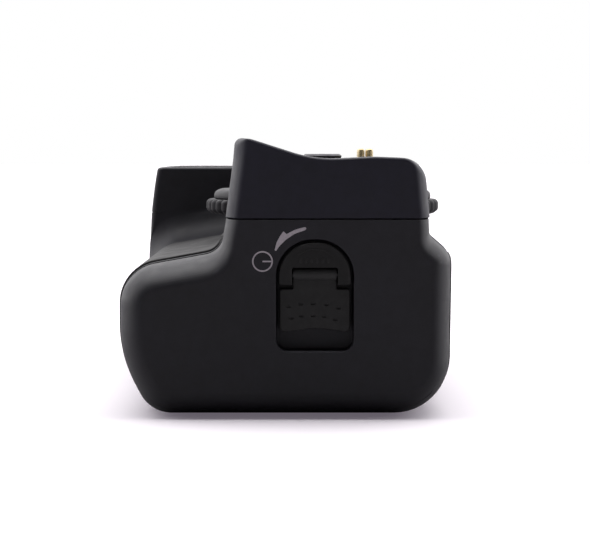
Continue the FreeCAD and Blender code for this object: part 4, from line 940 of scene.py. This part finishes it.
def make_wheel():
    """Attachment wheel: knurled ring, domed cover and camera screw."""
    x, y = WHEEL
    at = (x, y, 0)
    ring = [(22.0, 41.0), (26.3, 41.0), (27.5, 41.9), (27.5, 43.8), (26.9, 44.4), (22.0, 44.4)]
    finish(lathe(ring, at, steps=560, shape=knurl(56, 0.95, 26.2), loop=True, ease=0.5),
           "knurled_ring", "lock_wheel", DIAL, ["lock_wheel_rim"])
    dome = [(4.05, 44.4), (25.75, 44.4), (25.6, 46.05), (24.2, 46.85), (12.0, 46.95), (4.05, 46.95)]
    finish(lathe(dome, at, steps=128, loop=True, ease=1.2),
           "wheel_dome", "lock_wheel", DIAL, ["lock_wheel_cap"])
    stud = [(3.3, 35.1), (4.0, 35.5), (4.0, 35.8), (3.3, 35.81), (3.3, 36.6), (4.0, 36.61), (4.0, 46.7),
            (4.26, 46.72), (4.26, 50.9), (4.7625, 51.0)]
    stud += [(4.7625, 51.1 + 0.1 * k) for k in range(33)] + [(4.6, 54.6), (4.1, 55.0)]
    screw = solid(turned_rings(stud, at, "z", 64, thread(1.5875, 0.62, 51.0, 54.5)))
    combine(screw, [box((x - 3.4, y - 0.7, 54.2), (x + 3.4, y + 0.7, 56.0), 0.05)])
    finish(screw, "threaded_stud", "lock_wheel", BLACK_STEEL, ["camera_screw"])


def make_contacts():
    """Sprung gold pins in their holder, and the anti-twist pin."""
    holder = box((8.5, 15.8, 47.4), (19.5, 21.4, 53.6), 0.35)
    pins, bores = [], []
    for x in (10.25, 12.75, 15.25, 17.75):
        for y in (17.6, 19.6):
            bores.append(round_pocket(x, y, 0.85, 48.0, 53.6, 0.15, "z", steps=24, fillet=0.05))
            pins.append(lathe([(0.8, 49.7), (0.8, 55.6), (0.72, 56.05), (0.3, 56.3)], (x, y, 0), steps=32))
    combine(holder, bores)
    finish(holder, "pin_holder", "housing", INNER, ["contact_block"])
    finish(joined(*pins), "sprung_pins", "contacts", GOLD, ["contact_pins"])
    peg = [(2.4, 48.2), (2.6, 48.4), (2.6, 51.0), (2.0, 51.01), (2.0, 53.2), (1.4, 54.0)]
    finish(lathe(peg, (*GUIDE, 0)), "anti_twist_pin", "housing", BRIGHT_STEEL, ["guide_pin"])


def push_button(name, node, body, x, z, radius, root, shoulder, face, flange):
    """A round button with a dished face and a flange behind the wall. Root, shoulder and face are places
    along Y."""
    profile = [(radius + flange, root), (radius + flange, shoulder), (radius, shoulder + 0.01),
               (radius, face - 0.25), (radius - 0.35, face), (radius * 0.55, face - 0.12), (0.2, face - 0.22)]
    finish(lathe(profile, (x, 0, z), "y", 64), name, body, KEY, [node])


def make_far_end():
    """Dials, release and its lock ring."""
    radius, bore, low, high, teeth, depth = 8.5, 1.55, -64.0, -58.0, 36, 0.75
    profile = [(bore, low), (radius - 0.7, low), (radius, low + 0.55), (radius, high - 0.55),
               (radius - 0.7, high), (bore, high)]
    for name, node, body, y in (("finger_dial", "front_dial", "front_wheel", -27.9),
                                ("thumb_dial", "rear_dial", "rear_wheel", 27.9)):
        wheel = lathe(profile, (0, y, 22.0), "x", 360, knurl(teeth, depth, radius - depth), True, 0.3)
        finish(wheel, name, body, DIAL, [node])
    at = (0, *RELEASE)
    ring = [(6.05, -72.9), (10.0, -72.9), (10.0, -74.4), (9.5, -74.8), (6.5, -74.8), (6.05, -74.5)]
    lock = lathe(ring, at, "x", 240, knurl(40, 0.3, 9.7), True, 0.12)
    combine(lock, [box((-74.8, -15.3, 27.2), (-72.95, -12.7, 30.8), 0.3)], "UNION")
    finish(lock, "lock_ring", "release_lock", KEY, ["release_lock_ring"])
    button = [(6.5, -68.4), (6.5, -69.2), (5.0, -69.21), (5.0, -74.5), (4.5, -74.9), (2.5, -74.75),
              (0.3, -74.6)]
    finish(lathe(button, at, "x"), "release_cap", "release", BRIGHT_STEEL, ["release_button"])
    names = [("exposure_cap", "exposure_lock_button", "exposure_lock"),
             ("focus_cap", "focus_button", "focus")]
    for x, name in zip(BUTTON_X, names):
        push_button(*name, x, BUTTON_Z, 3.3, 32.1, 32.7, 36.2, 0.8)


PANEL_FACE = 35.65
TEST, KNOB, LAMP = (11.0, 21.5), (25.0, 21.5), (11.0, 27.9)


def make_panel():
    """Back panel with its printed scale, test button, channel dial, power switch and light."""
    plate = bar(corners((4.2, 13.2), (47.8, 30.8)), [2.0] * 4, 34.4, PANEL_FACE, 0.05, 0.3, "y")
    combine(plate, [
        round_pocket(*TEST, 3.4, 33.0, PANEL_FACE, 0.15, "y"),
        round_pocket(*KNOB, 2.05, 33.0, PANEL_FACE, 0.1, "y"),
        round_pocket(*LAMP, 1.2, 33.0, PANEL_FACE, 0.1, "y", steps=32),
        box((35.8, 33.0, 20.4), (44.2, 38.0, 22.6), 0.4),
    ])
    finish(plate, "trigger_panel", "housing", SHELL, ["control_panel"])
    half = 0.15
    marks = [corners((x - half, 24.3), (x + half, 25.6)) for x in (37.8, 42.2)]
    for k in range(8):
        angle = math.radians(90 - 45 * k)
        c, s = math.cos(angle), math.sin(angle)
        marks.append([(r * c - w * s + KNOB[0], r * s + w * c + KNOB[1])
                      for r, w in corners((6.3, -half), (7.4, half))])
    ticks = [bar(mark, [0.02] * 4, 35.6, 35.68, along="y", steps=1, cuts=0) for mark in marks]
    finish(joined(*ticks), "panel_ticks", "housing", INK)
    push_button("test_cap", "test_button", "test", *TEST, 3.3, 33.6, 34.28, 36.3, 0.9)
    profile = [(3.2, 33.0), (3.2, 34.1), (2.0, 34.11), (2.0, 35.69), (5.2, 35.7), (5.6, 35.75), (5.6, 36.2),
               (5.3, 36.45), (0.3, 36.45)]
    dial = lathe(profile, (KNOB[0], 0, KNOB[1]), "y", 240, knurl(24, 0.4, 5.2), ease=0.1)
    combine(dial, [box((24.4, 36.2, 17.3), (25.6, 37.0, 25.7), 0.2)])
    finish(dial, "channel_knob", "channel", KEY, ["channel_dial"])
    knob = box((35.5, 35.7, 19.5), (40.5, 36.4, 23.5), 0.25)
    combine(knob, [box((36.0, 33.0, 20.6), (40.0, 35.8, 22.4), 0.1)], "UNION")
    combine(knob, [box((36.4 + 0.8 * k, 36.2, 19.9), (36.8 + 0.8 * k, 37.0, 23.1), 0.08) for k in range(5)])
    finish(knob, "power_slider", "power", KEY, ["power_switch"])
    light = lathe([(1.2, 33.6), (1.2, 35.7), (0.9, 35.95), (0.2, 36.05)], (LAMP[0], 0, LAMP[1]), "y", 32)
    finish(light, "status_lens", "housing", LENS, ["status_light"])


# ---------------------------------------------------------------- latch

HINGE = (73.5, 30.2)
ARROW = [(-2.23, 35.25), (-1.75, 37.0), (-1.05, 38.3), (-0.37, 39.24), (0.27, 38.66), (2.12, 39.6),
         (4.14, 40.14), (4.41, 39.83), (4.14, 39.48), (2.02, 38.76), (0.16, 37.52), (-1.28, 36.08),
         (-1.86, 35.19)]


def arc_bar(a, b, radius, width, start, stop, low, high):
    """A bar bent along an arc about (a, b), pushed along X."""
    outline = []
    parts = 16
    for side in (-1, 1):
        for k in range(parts + 1):
            share = k / parts if side < 0 else 1 - k / parts
            angle = math.radians(start + (stop - start) * share)
            r = radius + side * width / 2
            outline.append((a + r * math.cos(angle), b + r * math.sin(angle)))
    return bar(outline, [0.01] * len(outline), low, high, 0, 0.05, steps=1, cuts=0, arc=2)


def make_latch():
    """Latch key with its fold-out tab, and the marks printed beside it."""
    k, z, radius = KEY_Y, KEY_Z, 7.4
    key = bar(corners((k - radius, 28.1), (k + radius, z + radius)), [0.4, 0.4, 7.38, 7.38], 72.1, FACE,
              0.05, 0.35, steps=16, cuts=4)
    combine(key, [pocket(corners((k - 4.75, 24), (k + 4.75, 31.65)), [0.4] * 4, 72.1, FACE, 0.25, 0.02)])
    foot = lathe([(3.0, 59.2), (3.0, 71.19), (radius, 71.2), (radius, 72.11), (0.3, 72.12)], (0, k, z), "x",
                 96, ease=0.02)
    marks = [arc_bar(k, z, 6.0, 0.3, 50, 126, FACE - 0.1, FACE + 0.12)]
    marks += [box((FACE - 0.1, k - 3.2 + 1.15 * i, 32.65), (FACE + 0.1, k - 2.75 + 1.15 * i, 33.65), 0.05)
              for i in range(6)]
    combine(key, [foot, *marks], "UNION")
    combine(key, [rod(*HINGE, 0.62, k - 6.6, k + 6.6, "y", 24)])
    finish(key, "fold_key", "magazine", KEY, ["latch_key"])
    half, tongue = 7.3, 4.45
    outline = [(-half, 18.1), (0, 19.06), (half, 18.1), (half, 27.2), (tongue, 27.2), (tongue, HINGE[1]),
               (-tongue, HINGE[1]), (-tongue, 27.2), (-half, 27.2)]
    tab = bar([(k + a, b) for a, b in outline], [1.0, 12, 1.0, 0.5, 0.3, 0.05, 0.05, 0.3, 0.5], 72.3, 74.0,
              0.1, [0.3, 0.5, 0.3, 0.25, 0.25, 0.25, 0, 0.25, 0.25], steps=8, cuts=5)
    combine(tab, [rod(*HINGE, 1.25, k - tongue, k + tongue, "y", 48)], "UNION")
    grips = []
    for y, low in ((0.7, 23.5), (3.2, 24.0), (5.8, 24.1), (8.6, 23.9), (11.1, 23.2), (1.2, 21.1), (3.4, 21.5),
                   (5.8, 21.6), (8.15, 21.4), (10.4, 20.8)):
        rings = turned_rings([(0.05, 73.72), (0.35, 73.78), (0.55, 74.02), (0.6, 74.3)], (0, y, low), "x", 24,
                             lambda t, r, h: r / math.hypot(math.cos(t), 2.0 * math.sin(t)))
        grips.append(solid(rings))
    combine(tab, [*grips, rod(*HINGE, 0.65, k - 5, k + 5, "y", 24)])
    finish(tab, "fold_tab", "tab", TAB, ["latch_tab"])
    low, high = FACE - 0.03, FACE + 0.02
    arrow = bar(ARROW, [0.3, 2, 2, 0.15, 0.15, 4, 0.25, 0.25, 0.25, 4, 4, 4, 0.3], low, high, steps=4, cuts=1)
    ring = lathe([(1.85, low), (2.15, low), (2.15, high), (1.85, high)], (0, -4.7, 33.0), "x", 64, loop=True,
                 ease=0.005)
    spoke = bar(corners((-4.7, 32.85), (-2.8, 33.15)), [0.02] * 4, low, high, steps=1, cuts=0)
    finish(joined(arrow, ring, spoke), "latch_marks", "magazine", INK)


# ---------------------------------------------------------------- base and battery pieces

def make_base():
    """Base plate, its screws and the tripod socket."""
    plate = bar(corners((-33.8, -19.8), (55.8, 19.8)), [3.0] * 4, 0.0, 1.5, 0.2, 0.05, "z")
    holes = [round_pocket(x, y, 2.05, 1.6, 0.0, 0.15, "z", direction=-1, steps=32, fillet=0.02)
             for x, y in PLATE_SCREWS]
    holes.append(round_pocket(*WHEEL, 5.5, 1.6, 0.0, 0.2, "z", direction=-1, fillet=0.02))
    combine(plate, holes)
    finish(plate, "bottom_plate", "housing", BLACK_STEEL, ["base_plate"])
    screws = []
    for x, y in PLATE_SCREWS:
        screw = lathe([(0.85, 5.4), (1.0, 5.2), (1.0, 1.41), (2.0, 1.4), (2.0, 0.4), (1.7, 0.12), (0.3, 0.1)],
                      (x, y, 0), steps=40)
        cross = [box((x - a, y - b, -1.0), (x + a, y + b, 0.75), 0.04) for a, b in ((1.05, 0.2), (0.2, 1.05))]
        combine(screw, cross)
        screws.append(screw)
    finish(joined(*screws), "plate_screws", "housing", BLACK_STEEL, ["base_screws"])
    inner = [(3.175, 0.2 + 0.115 * k) for k in range(51)]
    outer = [(5.4, 7.2), (5.4, 4.01), (6.9, 4.0), (6.9, 2.4), (5.4, 2.39), (5.4, 0.2)]
    profile = [(3.6, 0.2), *inner[3:], (0.3, 6.0), (0.3, 7.2), *outer]
    cut = thread(1.27, 0.45, 0.6, 5.9)
    socket = solid(turned_rings(profile, (*WHEEL, 0), "z", 56,
                                lambda t, r, h: cut(t, r, h) if 3.0 < r < 3.3 else r), True)
    finish(socket, "tripod_bush", "housing", BRASS, ["tripod_socket"])


def make_cells():
    """Battery cells with shoulders and nubs, and their coil springs."""
    cells, springs = [], []
    height, coil, wire, start, length, turns, turn_steps = 17.8, 2.05, 0.3, 54.3, 1.955, 4, 24
    for column in (-1, 0, 1):
        y = 4.7 + 15.2 * column
        for row in (0, 1):
            low = 3.9 - 50.5 * row
            profile = [(5.2, low), (7.0, low + 0.1), (7.2, low + 0.5), (7.2, low + 48.4), (6.6, low + 49.0),
                       (2.9, low + 49.05), (2.75, low + 50.1), (2.4, low + 50.2)]
            cells.append(lathe(profile, (0, y, height), "x", 48))
        rings = []
        for i in range(turns * turn_steps + 1):
            angle = 2 * math.pi * i / turn_steps
            x = start + length * i / (turns * turn_steps)
            ring = []
            for j in range(8):
                r = coil + wire * math.cos(j * math.pi / 4)
                ring.append((x + wire * math.sin(j * math.pi / 4), y + r * math.cos(angle),
                             height + r * math.sin(angle)))
            rings.append(ring)
        springs.append(solid(rings))
    finish(joined(*cells), "cell_set", "magazine", BATTERY, ["battery_cells"])
    finish(joined(*springs), "coil_springs", "magazine", BRIGHT_STEEL, ["magazine_springs"])


make_wheel()
make_contacts()
make_far_end()
make_panel()
make_latch()
make_base()
make_cells()
